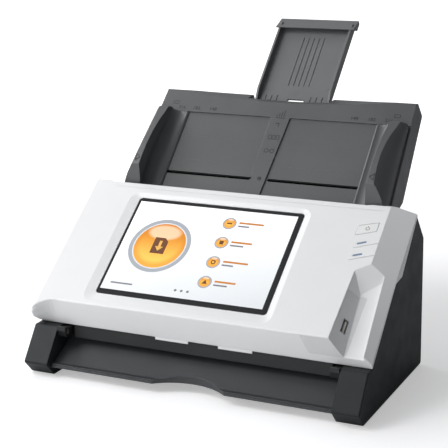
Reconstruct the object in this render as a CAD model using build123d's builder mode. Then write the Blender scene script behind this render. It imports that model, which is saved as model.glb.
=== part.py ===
# Desktop sheet-fed document scanner with a tilted touch display, in millimetres.
# The unit stands on z = 0 and +Z is up; +X is the right-hand side seen from the front, +Y the back.
# Profiles are measured back from the front of the feet; planes shift them by half of the depth.
from build123d import *
from math import acos, atan2, cos, degrees, hypot, pi, radians, sin
import os

os.makedirs("parts", exist_ok=True)

# Overall sizes
body_width = 318.8
body_back = 166.0
back_height = 119.8
shoulder_y = 146.2
shoulder_z = 143.1
floor_gap = 0.8
half_width = body_width / 2

# Side housings and their feet
foot_inner = 135.3
foot_bend_z = 13.3
foot_bevel_y = 11.6
foot_top_y = 21.7
foot_top_z = 42.6
housing_wall = 2.6
foot_depth = 47.0
foot_front_y = 0.595

# Seam between the white cover and the side housings, from the top down
seam_top = (shoulder_y, shoulder_z)
seam_step_back = (105.5, 100.0)
seam_step_front = (89.2, 98.4)
seam_low = (31.6, foot_top_z)
seam_gap = 0.5

# Front face of the cover
crease_y = 23.3
crease_z = 67.7
face_tilt = 36.9
face_length = 140.6
cover_edge_y = 30.7
cover_edge_z = 43.2
cover_wall = 2.6
edge_tabs = [(-41.0, -9.0), (20.0, 52.0)]
ear_inner = 133.5
ear_rise = 2.4
rim_radius = 4.0

# Display
display_left = -103.0
display_right = 63.0
display_low = 14.3
display_high = 125.2
display_radius = 3.2
display_set = 1.5
display_gap = 0.25
glass_thick = 1.2
panel_thick = 5.0
rim_left = -113.0
rim_right = 69.5
rim_low = 4.5
rim_high = 130.0

# Side band and memory-stick pocket
band_x = 138.2
band_fall_top = 10.6
band_fall_step = 13.2
band_fall_low = 21.6
band_step_s = 78.0
pocket_floor = 17.0
pocket_mouth_x = 123.6
pocket_wall_x = 135.3
pocket_right_x = 152.4

# Power button and indicators
button_corners = [(116.4, 117.7), (133.0, 122.5), (133.0, 113.2), (115.5, 107.0)]
button_gap = 0.25
button_travel = 0.8
lens_length = 8.4
lens_width = 1.7
lens_tilt = 20.6
lens_places = [(123.6, 99.3), (123.5, 86.3)]
groove_length = 23.7

# Paper tray
tray_tilt = 44.1
tray_top_y = 234.5
tray_top_z = 226.4
tray_half_top = 128.8
tray_half_low = 133.0
tray_corner = 7.0
tray_length = 131.0
tray_depth = 20.0
skirt_top = 24.0
skirt_low = 29.0
tray_skin = 2.6
tray_dip = 12.3
tray_dip_half = 118.0
panel_drop = 1.4
panel_top_s = 25.5
panel_half = 135.0
panel_inner = 9.4
slot_s = 95.7
slot_width = 3.2
slot_start = 8.0
slot_end = 117.0

# Sheet guides
guide_toe = 96.8
guide_wall = 113.3
guide_outer = 126.8
guide_flare = 0.036
guide_play = 0.3
pinion_teeth = 16
pinion_module = 1.0

# Tray extension
extension_half = 38.6
extension_drop = 14.9
extension_plate = 2.2
extension_wall = 6.6
extension_tip_s = -104.6

# Paper path
path_gap = 2.5
feed_s = 156.0
drive_s = 200.0
scan_s = 227.0
exit_s = 254.0
feed_radius = 11.0
drive_radius = 8.0
pinch_radius = 5.0
nip_level = -1.2
nip_gap = 0.15
shaft_radius = 3.0
bush_radius = 5.0
running_fit = 0.05
frame_inner = 129.4
frame_wall = 3.0

# Gear train on the left
gear_x = -143.5
gear_width = 5.0
gear_module = 1.0
feed_teeth = 16
feed_idler_teeth = 28
drive_teeth = 24
exit_idler_teeth = 32
exit_teeth = 20
motor_teeth = 14
mesh_gap = 0.25

# Cover hinge
hinge_y = 24.5
hinge_z = 38.2
hinge_pin = 2.5
arm_outer = 134.8
inner_half = 126.5
bar_y = 32.2
bar_low = 30.8

sin_face = sin(radians(face_tilt))
cos_face = cos(radians(face_tilt))
sin_tray = sin(radians(tray_tilt))
cos_tray = cos(radians(tray_tilt))

# The origin lies under the middle of the whole depth, between the feet's bend and the extension's lip
lip_corner_y = tray_top_y - extension_tip_s * cos_tray + (extension_drop + extension_plate) * sin_tray
half_depth = (foot_front_y + lip_corner_y) / 2


def across(x):
    """Plane facing +X whose sketch axes run back and up."""
    return Plane(origin=(x, -half_depth, 0), x_dir=(0, 1, 0), z_dir=(1, 0, 0))


def level(z):
    """Plane facing up at height z."""
    return Plane(origin=(0, -half_depth, z), x_dir=(1, 0, 0), z_dir=(0, 0, 1))


def facing_front(y):
    """Plane facing the front at depth y, with x to the right and height up."""
    return Plane(origin=(0, y - half_depth, 0), x_dir=(1, 0, 0), z_dir=(0, -1, 0))


def on_face(lift=0.0):
    """Plane along the cover's front face: x to the right, y up the slope from the crease."""
    origin = (0, crease_y - half_depth - lift * sin_face, crease_z + lift * cos_face)
    return Plane(origin=origin, x_dir=(1, 0, 0), z_dir=(0, -sin_face, cos_face))


def on_tray(lift=0.0):
    """Plane along the tray and the paper path: x to the right, y up the slope from the tray top."""
    origin = (0, tray_top_y - half_depth - lift * sin_tray, tray_top_z + lift * cos_tray)
    return Plane(origin=origin, x_dir=(1, 0, 0), z_dir=(0, -sin_tray, cos_tray))


def face_at(s, lift=0.0):
    """Depth and height of a point s up the face and lift above it."""
    return (crease_y + s * cos_face - lift * sin_face, crease_z + s * sin_face + lift * cos_face)


def tray_at(s, lift=0.0):
    """Depth and height of a point s down the tray and lift above it."""
    return (tray_top_y - s * cos_tray - lift * sin_tray, tray_top_z - s * sin_tray + lift * cos_tray)


def across_face(s):
    """Plane square to the face at distance s up the slope, with x to the right and lift up."""
    depth, height = face_at(s)
    return Plane(origin=(0, depth - half_depth, height), x_dir=(1, 0, 0), z_dir=(0, -cos_face, -sin_face))


def across_tray(s):
    """Plane square to the tray at distance s down the slope, with x to the right and lift up."""
    depth, height = tray_at(s)
    return Plane(origin=(0, depth - half_depth, height), x_dir=(1, 0, 0), z_dir=(0, -cos_tray, -sin_tray))


def meshing_point(first, second, first_reach, second_reach):
    """Centre that lies below the line of two centres at the two given distances."""
    along = hypot(second[0] - first[0], second[1] - first[1])
    base = atan2(second[1] - first[1], second[0] - first[0])
    turn = acos((first_reach**2 + along**2 - second_reach**2) / (2 * first_reach * along))
    return (first[0] + first_reach * cos(base + turn), first[1] + first_reach * sin(base + turn))


def mating_phase(centre, phase, teeth, mate_centre, mate_teeth):
    """Phase of a gear whose gap faces the tooth of its driver across the line of centres."""
    line = atan2(mate_centre[1] - centre[1], mate_centre[0] - centre[0])
    ahead = (phase - line) * teeth / (2 * pi)
    return line + pi - (ahead + 0.5) * 2 * pi / mate_teeth


def tooth_points(teeth, module, phase):
    """Corners of a spur gear outline with straight-flanked teeth."""
    points = []
    pitch = teeth * module / 2
    for index in range(teeth):
        middle = phase + index * 2 * pi / teeth
        for radius, share in ((pitch - 1.2 * module, -0.34), (pitch + 0.85 * module, -0.11),
                              (pitch + 0.85 * module, 0.11), (pitch - 1.2 * module, 0.34)):
            angle = middle + share * 2 * pi / teeth
            points.append((radius * cos(angle), radius * sin(angle)))
    return points


def nearest(sketch, point):
    """Corner of a sketch that lies closest to a point."""
    return sketch.vertices().sort_by_distance((point[0], point[1], 0))[0]


def seam_side(point):
    """Point of the cover's edge that faces a point of the housing seam across the seam gap."""
    return (point[0] - seam_gap * 0.7, point[1] + seam_gap * 0.7)


# Shaft centres: the lower rollers rise to the nip, the pinch rollers hang just above it
feed_axis = tray_at(feed_s, nip_level - nip_gap - feed_radius)
drive_axis = tray_at(drive_s, nip_level - nip_gap - drive_radius)
exit_axis = tray_at(exit_s, nip_level - nip_gap - drive_radius)
drive_pinch_axis = tray_at(drive_s, nip_level + nip_gap + pinch_radius)
exit_pinch_axis = tray_at(exit_s, nip_level + nip_gap + pinch_radius)

feed_reach = (feed_teeth + feed_idler_teeth) * gear_module / 2 + mesh_gap
feed_idler_reach = (feed_idler_teeth + drive_teeth) * gear_module / 2 + mesh_gap
drive_reach = (drive_teeth + exit_idler_teeth) * gear_module / 2 + mesh_gap
exit_idler_reach = (exit_idler_teeth + exit_teeth) * gear_module / 2 + mesh_gap
motor_reach = (exit_idler_teeth + motor_teeth) * gear_module / 2 + mesh_gap
feed_idler_axis = meshing_point(feed_axis, drive_axis, feed_reach, feed_idler_reach)
exit_idler_axis = meshing_point(drive_axis, exit_axis, drive_reach, exit_idler_reach)
motor_axis = (exit_idler_axis[0] + motor_reach * cos(radians(-45)),
              exit_idler_axis[1] + motor_reach * sin(radians(-45)))

# Side housings: outer wall, bottom, back and seam walls, and the solid foot in front
side_points = [(0, foot_bend_z), (foot_bevel_y, floor_gap), (body_back, floor_gap),
               (body_back, back_height), seam_top, seam_step_back, seam_step_front, seam_low,
               (foot_top_y, foot_top_z)]
housing_bosses = [(62.0, 12.0), (152.0, 14.0), (151.0, 104.0)]
pad_radius = 8.0
pad_recess = 1.2
foot_pad_x = (foot_inner + half_width) / 2
foot_pad_y = 23.0

with BuildPart() as side_housing_right:
    with BuildSketch(across(foot_inner)) as side_outline:
        with BuildLine():
            Polyline(*side_points, close=True)
        make_face()
        fillet(nearest(side_outline, (0, foot_bend_z)), 2.0)
        fillet(nearest(side_outline, (foot_bevel_y, floor_gap)), 1.5)
        fillet(nearest(side_outline, (foot_top_y, foot_top_z)), 1.2)
        fillet(nearest(side_outline, (body_back, floor_gap)), 3.0)
        fillet(nearest(side_outline, (body_back, back_height)), 2.0)
    extrude(amount=half_width - foot_inner)
    fillet(side_housing_right.faces().sort_by(Axis.X)[-1].edges(), 1.3)
    with BuildSketch(across(foot_inner)):
        with BuildLine():
            Polyline(*side_points, close=True)
        make_face()
        offset(amount=-housing_wall)
        with Locations((foot_depth / 2, back_height / 2)):
            Rectangle(foot_depth, back_height, mode=Mode.SUBTRACT)
    extrude(amount=half_width - foot_inner - housing_wall, mode=Mode.SUBTRACT)
    with BuildSketch(across(foot_inner)):
        with Locations((hinge_y, hinge_z)):
            Circle(hinge_pin + running_fit)
    extrude(amount=7.0, mode=Mode.SUBTRACT)
    with BuildSketch(across(frame_inner + frame_wall + 0.15)):
        with Locations(*housing_bosses):
            Circle(4.0)
    extrude(until=Until.NEXT)
    with BuildSketch(level(floor_gap)):
        with Locations((foot_pad_x, foot_pad_y)):
            Circle(pad_radius + 0.2)
    extrude(amount=pad_recess, mode=Mode.SUBTRACT)
side_housing_right.part.label = "side_housing_right"
export_step(side_housing_right.part, "parts/side_housing_right.step")

with BuildPart() as side_housing_left:
    mirror(side_housing_right.part, about=Plane.YZ)
side_housing_left.part.label = "side_housing_left"
export_step(side_housing_left.part, "parts/side_housing_left.step")

# Base plate: floor with a low rim, board pillars and recesses for the rubber pads
base_front = 51.5
base_back = 162.9
base_thick = 2.6
base_half = foot_inner - 0.4
base_top = floor_gap + base_thick
base_middle = (base_front + base_back) / 2
back_pads = [(-118, 148), (118, 148)]
foot_pads = [(-foot_pad_x, foot_pad_y), (foot_pad_x, foot_pad_y)]
board_z = 9.0
board_pillars = [(-4, 78), (118, 78), (-4, 148), (30, 148)]

with BuildPart() as base_plate:
    with BuildSketch(level(floor_gap)):
        with Locations((0, base_middle)):
            RectangleRounded(2 * base_half, base_back - base_front, 3.0)
    extrude(amount=base_thick)
    with BuildSketch(level(base_top)):
        with Locations((0, base_middle)):
            RectangleRounded(2 * base_half, base_back - base_front, 3.0)
            RectangleRounded(2 * base_half - 4, base_back - base_front - 4, 1.5, mode=Mode.SUBTRACT)
    extrude(amount=4.6)
    with BuildSketch(level(base_top)):
        with Locations(*board_pillars):
            Circle(3.2)
    extrude(amount=board_z - base_top - 0.1)
    with BuildSketch(level(floor_gap)):
        with Locations(*back_pads):
            Circle(pad_radius + 0.2)
    extrude(amount=pad_recess, mode=Mode.SUBTRACT)
    with BuildSketch(level(floor_gap)):
        with Locations((0, base_middle)):
            with GridLocations(9.0, 26.0, 9, 2):
                SlotOverall(18.0, 2.6, rotation=90)
    extrude(amount=base_thick, mode=Mode.SUBTRACT)
base_plate.part.label = "base_plate"
export_step(base_plate.part, "parts/base_plate.step")

with BuildPart() as rubber_feet:
    with BuildSketch(level(0)):
        with Locations(*back_pads, *foot_pads):
            Circle(pad_radius)
    extrude(amount=floor_gap + pad_recess - 0.05)
rubber_feet.part.label = "rubber_feet"
export_step(rubber_feet.part, "parts/rubber_feet.step")

# Output plate: ramp between the feet with a curved finger notch in its front edge
plate_front = 7.5
plate_low = 9.0
plate_lip_z = 12.4
plate_step = 0.9
plate_step_z = plate_lip_z - 1.6
ramp_start = 12.5
ramp_end_y = 50.0
ramp_end_z = 32.4
notch_centre_x = 1.5
notch_half = 34.5
notch_deep = 12.5
notch_radius = (notch_half**2 + notch_deep**2) / (2 * notch_deep)
notch_y = plate_front + notch_deep - notch_radius

with BuildPart() as output_plate:
    with BuildSketch(across(-base_half)):
        with BuildLine():
            Polyline((plate_front, plate_low), (plate_front, plate_step_z),
                     (plate_front + plate_step, plate_step_z),
                     (plate_front + plate_step, plate_lip_z), (ramp_start, plate_lip_z),
                     (ramp_end_y, ramp_end_z), (ramp_end_y + 1.2, ramp_end_z - 2.1),
                     (27.0, plate_low), close=True)
        make_face()
    extrude(amount=2 * base_half)
    with BuildSketch(level(plate_low)):
        with Locations((notch_centre_x, notch_y)):
            Circle(notch_radius)
    extrude(amount=20.0, mode=Mode.SUBTRACT)
    with BuildSketch(level(plate_low)):
        with Locations((-86, 21.0), (90, 21.0)):
            Rectangle(86.0, 9.0)
        with Locations((notch_centre_x, notch_y)):
            Circle(notch_radius + 2.4, mode=Mode.SUBTRACT)
    extrude(amount=4.0, mode=Mode.SUBTRACT)
output_plate.part.label = "output_plate"
export_step(output_plate.part, "parts/output_plate.step")

# Inner frame: two side plates tied by beams, with seats for the roller bushes
frame_outer = frame_inner + frame_wall
frame_foot_z = base_top + 0.15
scan_seat = -19.0
frame_points = [(54.0, frame_foot_z), (160.0, frame_foot_z), (160.0, 110.0), tray_at(132, -23.0),
                tray_at(132, -0.6), tray_at(262, -0.6), (54.0, 37.0)]
roller_axes = [feed_axis, drive_axis, exit_axis]

with BuildPart() as inner_frame:
    with BuildSketch(across(-frame_outer)) as frame_sides:
        with BuildLine():
            Polyline(*frame_points, close=True)
        make_face()
    extrude(amount=frame_wall)
    extrude(frame_sides.sketch.moved(Location((2 * frame_outer - frame_wall, 0, 0))), amount=frame_wall)
    with BuildSketch(across(-frame_outer)):
        with Locations((56.0, 18.5)):
            Rectangle(4.0, 2 * (18.5 - frame_foot_z))
        with Locations((158.5, 68.0)):
            Rectangle(3.0, 60.0)
    extrude(amount=2 * frame_outer)
    with BuildSketch(on_tray(scan_seat)):
        with Locations((0, -scan_s)):
            Rectangle(2 * frame_outer, 24.0)
    extrude(amount=2.0)
    with BuildSketch(across(-frame_outer)):
        with Locations(*roller_axes):
            Circle(bush_radius + running_fit)
    extrude(amount=2 * frame_outer, mode=Mode.SUBTRACT)
    with BuildSketch(across(-frame_outer)):
        with Locations(motor_axis):
            Circle(5.0)
    extrude(amount=frame_wall, mode=Mode.SUBTRACT)
    with BuildSketch(across(-frame_outer - 14.0)):
        with Locations(feed_idler_axis, exit_idler_axis):
            Circle(2.5)
    extrude(amount=14.0)
inner_frame.part.label = "inner_frame"
export_step(inner_frame.part, "parts/inner_frame.step")

with BuildPart() as roller_bushes:
    for side in (-1, 1):
        with BuildSketch(across(side * (frame_outer + 0.1))):
            with Locations(*roller_axes):
                Circle(bush_radius)
                Circle(shaft_radius + running_fit, mode=Mode.SUBTRACT)
        extrude(amount=-side * (frame_wall + 0.2))
        with BuildSketch(across(side * (frame_outer + 0.1))):
            with Locations(*roller_axes):
                Circle(bush_radius + 1.4)
                Circle(shaft_radius + running_fit, mode=Mode.SUBTRACT)
        extrude(amount=side * 1.2)
roller_bushes.part.label = "roller_bushes"
export_step(roller_bushes.part, "parts/roller_bushes.step")

# Rear cover: back wall with vents and connector openings, and a lip that leans under the tray
jack_x = 100.0
printer_port_x = 75.0
network_port_x = 47.0
port_z = 16.4
rear_half = foot_inner - 0.35
rear_inner_y = body_back - 2.6
lip_run = 7.2
shoulder_slope = atan2(shoulder_z - back_height, shoulder_y - body_back)

with BuildPart() as rear_cover:
    with BuildSketch(across(-rear_half)):
        with BuildLine():
            Polyline((body_back, base_top + 0.2), (body_back, back_height),
                     (body_back + lip_run * cos(shoulder_slope), back_height + lip_run * sin(shoulder_slope)),
                     (body_back - 2.2 + lip_run * cos(shoulder_slope),
                      back_height - 1.4 + lip_run * sin(shoulder_slope)),
                     (rear_inner_y, back_height - 1.2), (rear_inner_y, base_top + 0.2), close=True)
        make_face()
    extrude(amount=2 * rear_half)
    with BuildSketch(facing_front(body_back)):
        with Locations((-60, 88), (60, 88)):
            with GridLocations(6.0, 1.0, 12, 1):
                SlotOverall(26.0, 2.4, rotation=90)
        with Locations((jack_x, port_z)):
            Circle(4.6)
        with Locations((printer_port_x, port_z)):
            Rectangle(12.6, 11.4)
        with Locations((network_port_x, port_z + 1.0)):
            Rectangle(16.6, 13.8)
    extrude(amount=3.0, mode=Mode.SUBTRACT)
    with BuildSketch(facing_front(rear_inner_y)):
        with Locations((0, 60), (-118, 60), (118, 60)):
            Rectangle(1.8, 100.0)
    extrude(amount=2.6)
rear_cover.part.label = "rear_cover"
export_step(rear_cover.part, "parts/rear_cover.step")

# Main board with chips and its three connectors
board_thick = 1.6
board_top = board_z + board_thick

with BuildPart() as main_board:
    with BuildSketch(level(board_z)):
        with Locations((57, 113)):
            Rectangle(134.0, 80.0)
    extrude(amount=board_thick)
    with BuildSketch(level(board_top)):
        with Locations((20, 104), (52, 96), (92, 110)):
            Rectangle(15.0, 15.0)
        with Locations((0, 132), (10, 132), (20, 132)):
            Circle(3.5)
    extrude(amount=2.4)
main_board.part.label = "main_board"
export_step(main_board.part, "parts/main_board.step")

with BuildPart() as power_jack:
    with BuildSketch(facing_front(rear_inner_y - 0.3)):
        with Locations((jack_x, port_z)):
            Rectangle(9.4, 2 * (port_z - board_top - 0.1))
            Circle(3.1, mode=Mode.SUBTRACT)
    extrude(amount=11.0)
    with BuildSketch(facing_front(rear_inner_y - 6.0)):
        with Locations((jack_x, port_z)):
            Circle(3.1)
    extrude(amount=5.3)
    with BuildSketch(facing_front(rear_inner_y - 0.9)):
        with Locations((jack_x, port_z)):
            Circle(1.0)
    extrude(amount=6.0)
power_jack.part.label = "power_jack"
export_step(power_jack.part, "parts/power_jack.step")

with BuildPart() as data_sockets:
    with BuildSketch(facing_front(rear_inner_y - 0.3)):
        with Locations((printer_port_x, port_z)):
            Rectangle(12.0, 2 * (port_z - board_top - 0.1))
            Rectangle(8.4, 7.6, mode=Mode.SUBTRACT)
        with Locations((network_port_x, port_z + 0.9)):
            Rectangle(16.0, 2 * (port_z + 0.9 - board_top - 0.1))
            Rectangle(12.0, 9.4, mode=Mode.SUBTRACT)
    extrude(amount=9.0)
    with BuildSketch(facing_front(rear_inner_y - 9.3)):
        with Locations((printer_port_x, port_z)):
            Rectangle(12.0, 2 * (port_z - board_top - 0.1))
        with Locations((network_port_x, port_z + 0.9)):
            Rectangle(16.0, 2 * (port_z + 0.9 - board_top - 0.1))
    extrude(amount=6.0)
data_sockets.part.label = "data_sockets"
export_step(data_sockets.part, "parts/data_sockets.step")

# Lower paper guide with windows for the rollers and the scan bar
guide_sheet = 2.0
guide_half = frame_inner - 0.25
drive_tyre_places = [-40.0, 40.0]
drive_tyre_length = 24.0
feed_tyre_places = [-15.0, 15.0]
feed_tyre_length = 18.0
bar_half = 115.0
bar_width = 18.0
sensor_x = 70.0
sensor_s = 178.0
sensor_drop = 8.0
sensor_pin_radius = 1.2
sensor_axis = tray_at(sensor_s, -sensor_drop)

with BuildPart() as lower_guide:
    with BuildSketch(on_tray(-path_gap - guide_sheet)):
        with Locations((0, -(131.6 + 266.0) / 2)):
            Rectangle(2 * guide_half, 266.0 - 131.6)
        with Locations(*[(x, -feed_s) for x in feed_tyre_places]):
            Rectangle(feed_tyre_length + 2, 18.0, mode=Mode.SUBTRACT)
        with Locations(*[(x, -s) for x in drive_tyre_places for s in (drive_s, exit_s)]):
            Rectangle(drive_tyre_length + 2, 14.8, mode=Mode.SUBTRACT)
        with Locations((0, -scan_s)):
            Rectangle(2 * bar_half + 0.8, bar_width + 0.8, mode=Mode.SUBTRACT)
        with Locations((sensor_x, -sensor_s)):
            Rectangle(3.2, 12.0, mode=Mode.SUBTRACT)
    extrude(amount=guide_sheet)
    with BuildSketch(on_tray(-path_gap - guide_sheet)):
        with Locations((0, -137.0), (0, -186.0), (0, -214.0), (0, -241.0)):
            Rectangle(2 * guide_half - 12, 1.6)
    extrude(amount=-2.6)
    # Two ears and a pin that carry the sensor lever
    for ear_x in (sensor_x - 2.2, sensor_x + 1.2):
        with BuildSketch(across(ear_x)):
            with BuildLine():
                Polyline(tray_at(sensor_s - 3.4, -path_gap - 1.0),
                         tray_at(sensor_s - 2.0, -sensor_drop - 2.0),
                         tray_at(sensor_s + 2.0, -sensor_drop - 2.0),
                         tray_at(sensor_s + 3.4, -path_gap - 1.0),
                         close=True)
            make_face()
        extrude(amount=1.0)
    with BuildSketch(across(sensor_x - 1.6)):
        with Locations(sensor_axis):
            Circle(sensor_pin_radius)
    extrude(amount=3.2)
lower_guide.part.label = "lower_guide"
export_step(lower_guide.part, "parts/lower_guide.step")

# Scan bars: housings with a glass strip, one under and one over the paper path
glass_strip = 1.2

with BuildPart() as lower_scan_bar:
    with BuildSketch(on_tray(-path_gap - 0.1)):
        with Locations((0, -scan_s)):
            Rectangle(2 * bar_half, bar_width)
    extrude(amount=-(17.0 - path_gap - 0.3))
    with BuildSketch(on_tray(-path_gap - 0.1)):
        with Locations((0, -scan_s)):
            Rectangle(2 * bar_half - 4, bar_width - 3)
    extrude(amount=-glass_strip - 0.05, mode=Mode.SUBTRACT)
lower_scan_bar.part.label = "lower_scan_bar"
export_step(lower_scan_bar.part, "parts/lower_scan_bar.step")

with BuildPart() as lower_scan_glass:
    with BuildSketch(on_tray(-path_gap - 0.1 - glass_strip)):
        with Locations((0, -scan_s)):
            Rectangle(2 * bar_half - 4.2, bar_width - 3.2)
    extrude(amount=glass_strip)
lower_scan_glass.part.label = "lower_scan_glass"
export_step(lower_scan_glass.part, "parts/lower_scan_glass.step")

with BuildPart() as upper_scan_bar:
    with BuildSketch(on_tray(0.1)):
        with Locations((0, -scan_s)):
            Rectangle(2 * bar_half, bar_width)
    extrude(amount=12.0)
    with BuildSketch(on_tray(0.1)):
        with Locations((0, -scan_s)):
            Rectangle(2 * bar_half - 4, bar_width - 3)
    extrude(amount=glass_strip + 0.05, mode=Mode.SUBTRACT)
upper_scan_bar.part.label = "upper_scan_bar"
export_step(upper_scan_bar.part, "parts/upper_scan_bar.step")

with BuildPart() as upper_scan_glass:
    with BuildSketch(on_tray(0.1)):
        with Locations((0, -scan_s)):
            Rectangle(2 * bar_half - 4.2, bar_width - 3.2)
    extrude(amount=glass_strip)
upper_scan_glass.part.label = "upper_scan_glass"
export_step(upper_scan_glass.part, "parts/upper_scan_glass.step")

# Roller shafts, each from the gear on the left to the bush on the right
shaft_left = gear_x - gear_width / 2 - 1.5
shaft_right = frame_outer + 2.2

shafts = [("feed_shaft", feed_axis), ("drive_shaft", drive_axis), ("exit_shaft", exit_axis)]

for shaft_name, shaft_centre in shafts:
    with BuildPart() as roller_shaft:
        with BuildSketch(across(shaft_left)):
            with Locations(shaft_centre):
                Circle(shaft_radius)
        extrude(amount=shaft_right - shaft_left)
        chamfer(roller_shaft.edges().filter_by(GeomType.CIRCLE), 0.4)
    roller_shaft.part.label = shaft_name
    export_step(roller_shaft.part, f"parts/{shaft_name}.step")

# Rubber tyres with a grooved tread on each shaft
tyre_sets = [("feed_tyres", feed_axis, feed_radius, feed_tyre_places, feed_tyre_length),
             ("drive_tyres", drive_axis, drive_radius, drive_tyre_places, drive_tyre_length),
             ("exit_tyres", exit_axis, drive_radius, drive_tyre_places, drive_tyre_length)]
tyre_bore = shaft_radius + 0.02

for tyre_name, tyre_axis, tyre_radius, tyre_places, tyre_length in tyre_sets:
    with BuildPart() as tyres:
        for place in tyre_places:
            with BuildSketch(across(place - tyre_length / 2)):
                with Locations(tyre_axis):
                    Circle(tyre_radius)
            extrude(amount=tyre_length)
        for place in tyre_places:
            for groove in (-0.25, 0.25):
                with BuildSketch(across(place + groove * tyre_length - 0.6)):
                    with Locations(tyre_axis):
                        Circle(tyre_radius + 1)
                        Circle(tyre_radius - 0.7, mode=Mode.SUBTRACT)
                extrude(amount=1.2, mode=Mode.SUBTRACT)
        with BuildSketch(across(-80)):
            with Locations(tyre_axis):
                Circle(tyre_bore)
        extrude(amount=160, mode=Mode.SUBTRACT)
    tyres.part.label = tyre_name
    export_step(tyres.part, f"parts/{tyre_name}.step")

# Gear train, phased so that every tooth meets a gap at rest
phase_feed = 0.3
phase_feed_idler = mating_phase(feed_axis, phase_feed, feed_teeth, feed_idler_axis, feed_idler_teeth)
phase_drive = mating_phase(feed_idler_axis, phase_feed_idler, feed_idler_teeth, drive_axis, drive_teeth)
phase_exit_idler = mating_phase(drive_axis, phase_drive, drive_teeth, exit_idler_axis, exit_idler_teeth)
phase_exit = mating_phase(exit_idler_axis, phase_exit_idler, exit_idler_teeth, exit_axis, exit_teeth)
phase_motor = mating_phase(exit_idler_axis, phase_exit_idler, exit_idler_teeth, motor_axis, motor_teeth)
gears = [("feed_gear", feed_axis, feed_teeth, phase_feed, shaft_radius + 0.02),
         ("feed_idler_gear", feed_idler_axis, feed_idler_teeth, phase_feed_idler, 2.5 + running_fit),
         ("drive_gear", drive_axis, drive_teeth, phase_drive, shaft_radius + 0.02),
         ("exit_idler_gear", exit_idler_axis, exit_idler_teeth, phase_exit_idler, 2.5 + running_fit),
         ("exit_gear", exit_axis, exit_teeth, phase_exit, shaft_radius + 0.02)]

for gear_name, gear_axis, teeth, phase, bore in gears:
    with BuildPart() as gear:
        with BuildSketch(across(gear_x - gear_width / 2)):
            with Locations(gear_axis):
                Polygon(*tooth_points(teeth, gear_module, phase), align=None)
                Circle(bore, mode=Mode.SUBTRACT)
        extrude(amount=gear_width)
        with BuildSketch(across(gear_x - gear_width / 2)):
            with Locations(gear_axis):
                Circle(teeth * gear_module / 2 - 2.6)
                Circle(bore + 2.0, mode=Mode.SUBTRACT)
        extrude(amount=1.4, mode=Mode.SUBTRACT)
    gear.part.label = gear_name
    export_step(gear.part, f"parts/{gear_name}.step")

with BuildPart() as motor_pinion:
    with BuildSketch(across(gear_x - gear_width / 2)):
        with Locations(motor_axis):
            Polygon(*tooth_points(motor_teeth, gear_module, phase_motor), align=None)
    extrude(amount=gear_width)
    with BuildSketch(across(gear_x)):
        with Locations(motor_axis):
            Circle(2.5)
    extrude(amount=-gear_x - frame_inner + 1.0)
motor_pinion.part.label = "motor_pinion"
export_step(motor_pinion.part, "parts/motor_pinion.step")

motor_face = -frame_inner + 0.15
motor_length = 24.0
motor_radius = 14.5

with BuildPart() as stepper_motor:
    with BuildSketch(across(motor_face)):
        with Locations(motor_axis):
            Rectangle(38.0, 12.0, rotation=tray_tilt)
            Circle(4.6, mode=Mode.SUBTRACT)
    extrude(amount=1.6)
    with BuildSketch(across(motor_face + 1.6)):
        with Locations(motor_axis):
            Circle(motor_radius)
    extrude(amount=motor_length)
    fillet(stepper_motor.faces().sort_by(Axis.X)[-1].edges(), 1.5)
stepper_motor.part.label = "stepper_motor"
export_step(stepper_motor.part, "parts/stepper_motor.step")

# Sensor lever: a thin flag that stands in the paper path on its own pin
with BuildPart() as sensor_lever:
    with BuildSketch(across(sensor_x - 1.0)) as sensor_outline:
        with BuildLine():
            Polyline(tray_at(sensor_s - 1.2, -sensor_drop), tray_at(sensor_s - 2.4, -0.4),
                     tray_at(sensor_s - 1.2, 0.8), tray_at(sensor_s + 0.2, 0.8),
                     tray_at(sensor_s + 1.4, -sensor_drop), close=True)
        make_face()
        with Locations(sensor_axis):
            Circle(2.6)
            Circle(sensor_pin_radius + running_fit, mode=Mode.SUBTRACT)
    extrude(amount=2.0)
sensor_lever.part.label = "sensor_lever"
export_step(sensor_lever.part, "parts/sensor_lever.step")

# White front cover: full body first, then its well, cavity, side band, pocket and openings
ear_top = face_length + ear_rise
cover_points = [(crease_y, crease_z), face_at(ear_top), (shoulder_y - 1.2, shoulder_z + 3.0),
                seam_side(seam_top), seam_side(seam_step_back), seam_side(seam_step_front),
                (cover_edge_y + 0.2, cover_edge_z)]
throat_back = 136.9
under_clear = 6.6
inner_crease = (crease_y + 3.0, crease_z - 1.0)
inner_low = (32.7, 46.0)
wall_draft = (pocket_wall_x - pocket_mouth_x) / pocket_floor
usb_s = 19.0
usb_lift = -9.0
usb_x = pocket_mouth_x + 0.6 - usb_lift * wall_draft


def pocket_section(s, left, right, floor):
    """Cross-section of the pocket square to the face: sloped left wall, floor, upright right wall."""
    with BuildSketch(across_face(s)) as section:
        with BuildLine():
            Polyline((left - 2.1, 3.0), (left, 0.0), (left + floor * wall_draft, -floor),
                     (right, -floor), (right, 3.0), close=True)
        make_face()
    return section.sketch


def band_section(s, fall):
    """Cross-section of what the slanted side band takes off between the crease and the side."""
    with BuildSketch(across_face(s)) as section:
        with BuildLine():
            Polyline((band_x, 5.0), (band_x, 0.0), (half_width + 4, -fall * (half_width + 4 - band_x)
                     / (half_width - band_x)), (half_width + 4, 5.0), close=True)
        make_face()
    return section.sketch


pocket_low_s = -20.0
pocket_high_s = 95.0

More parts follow.
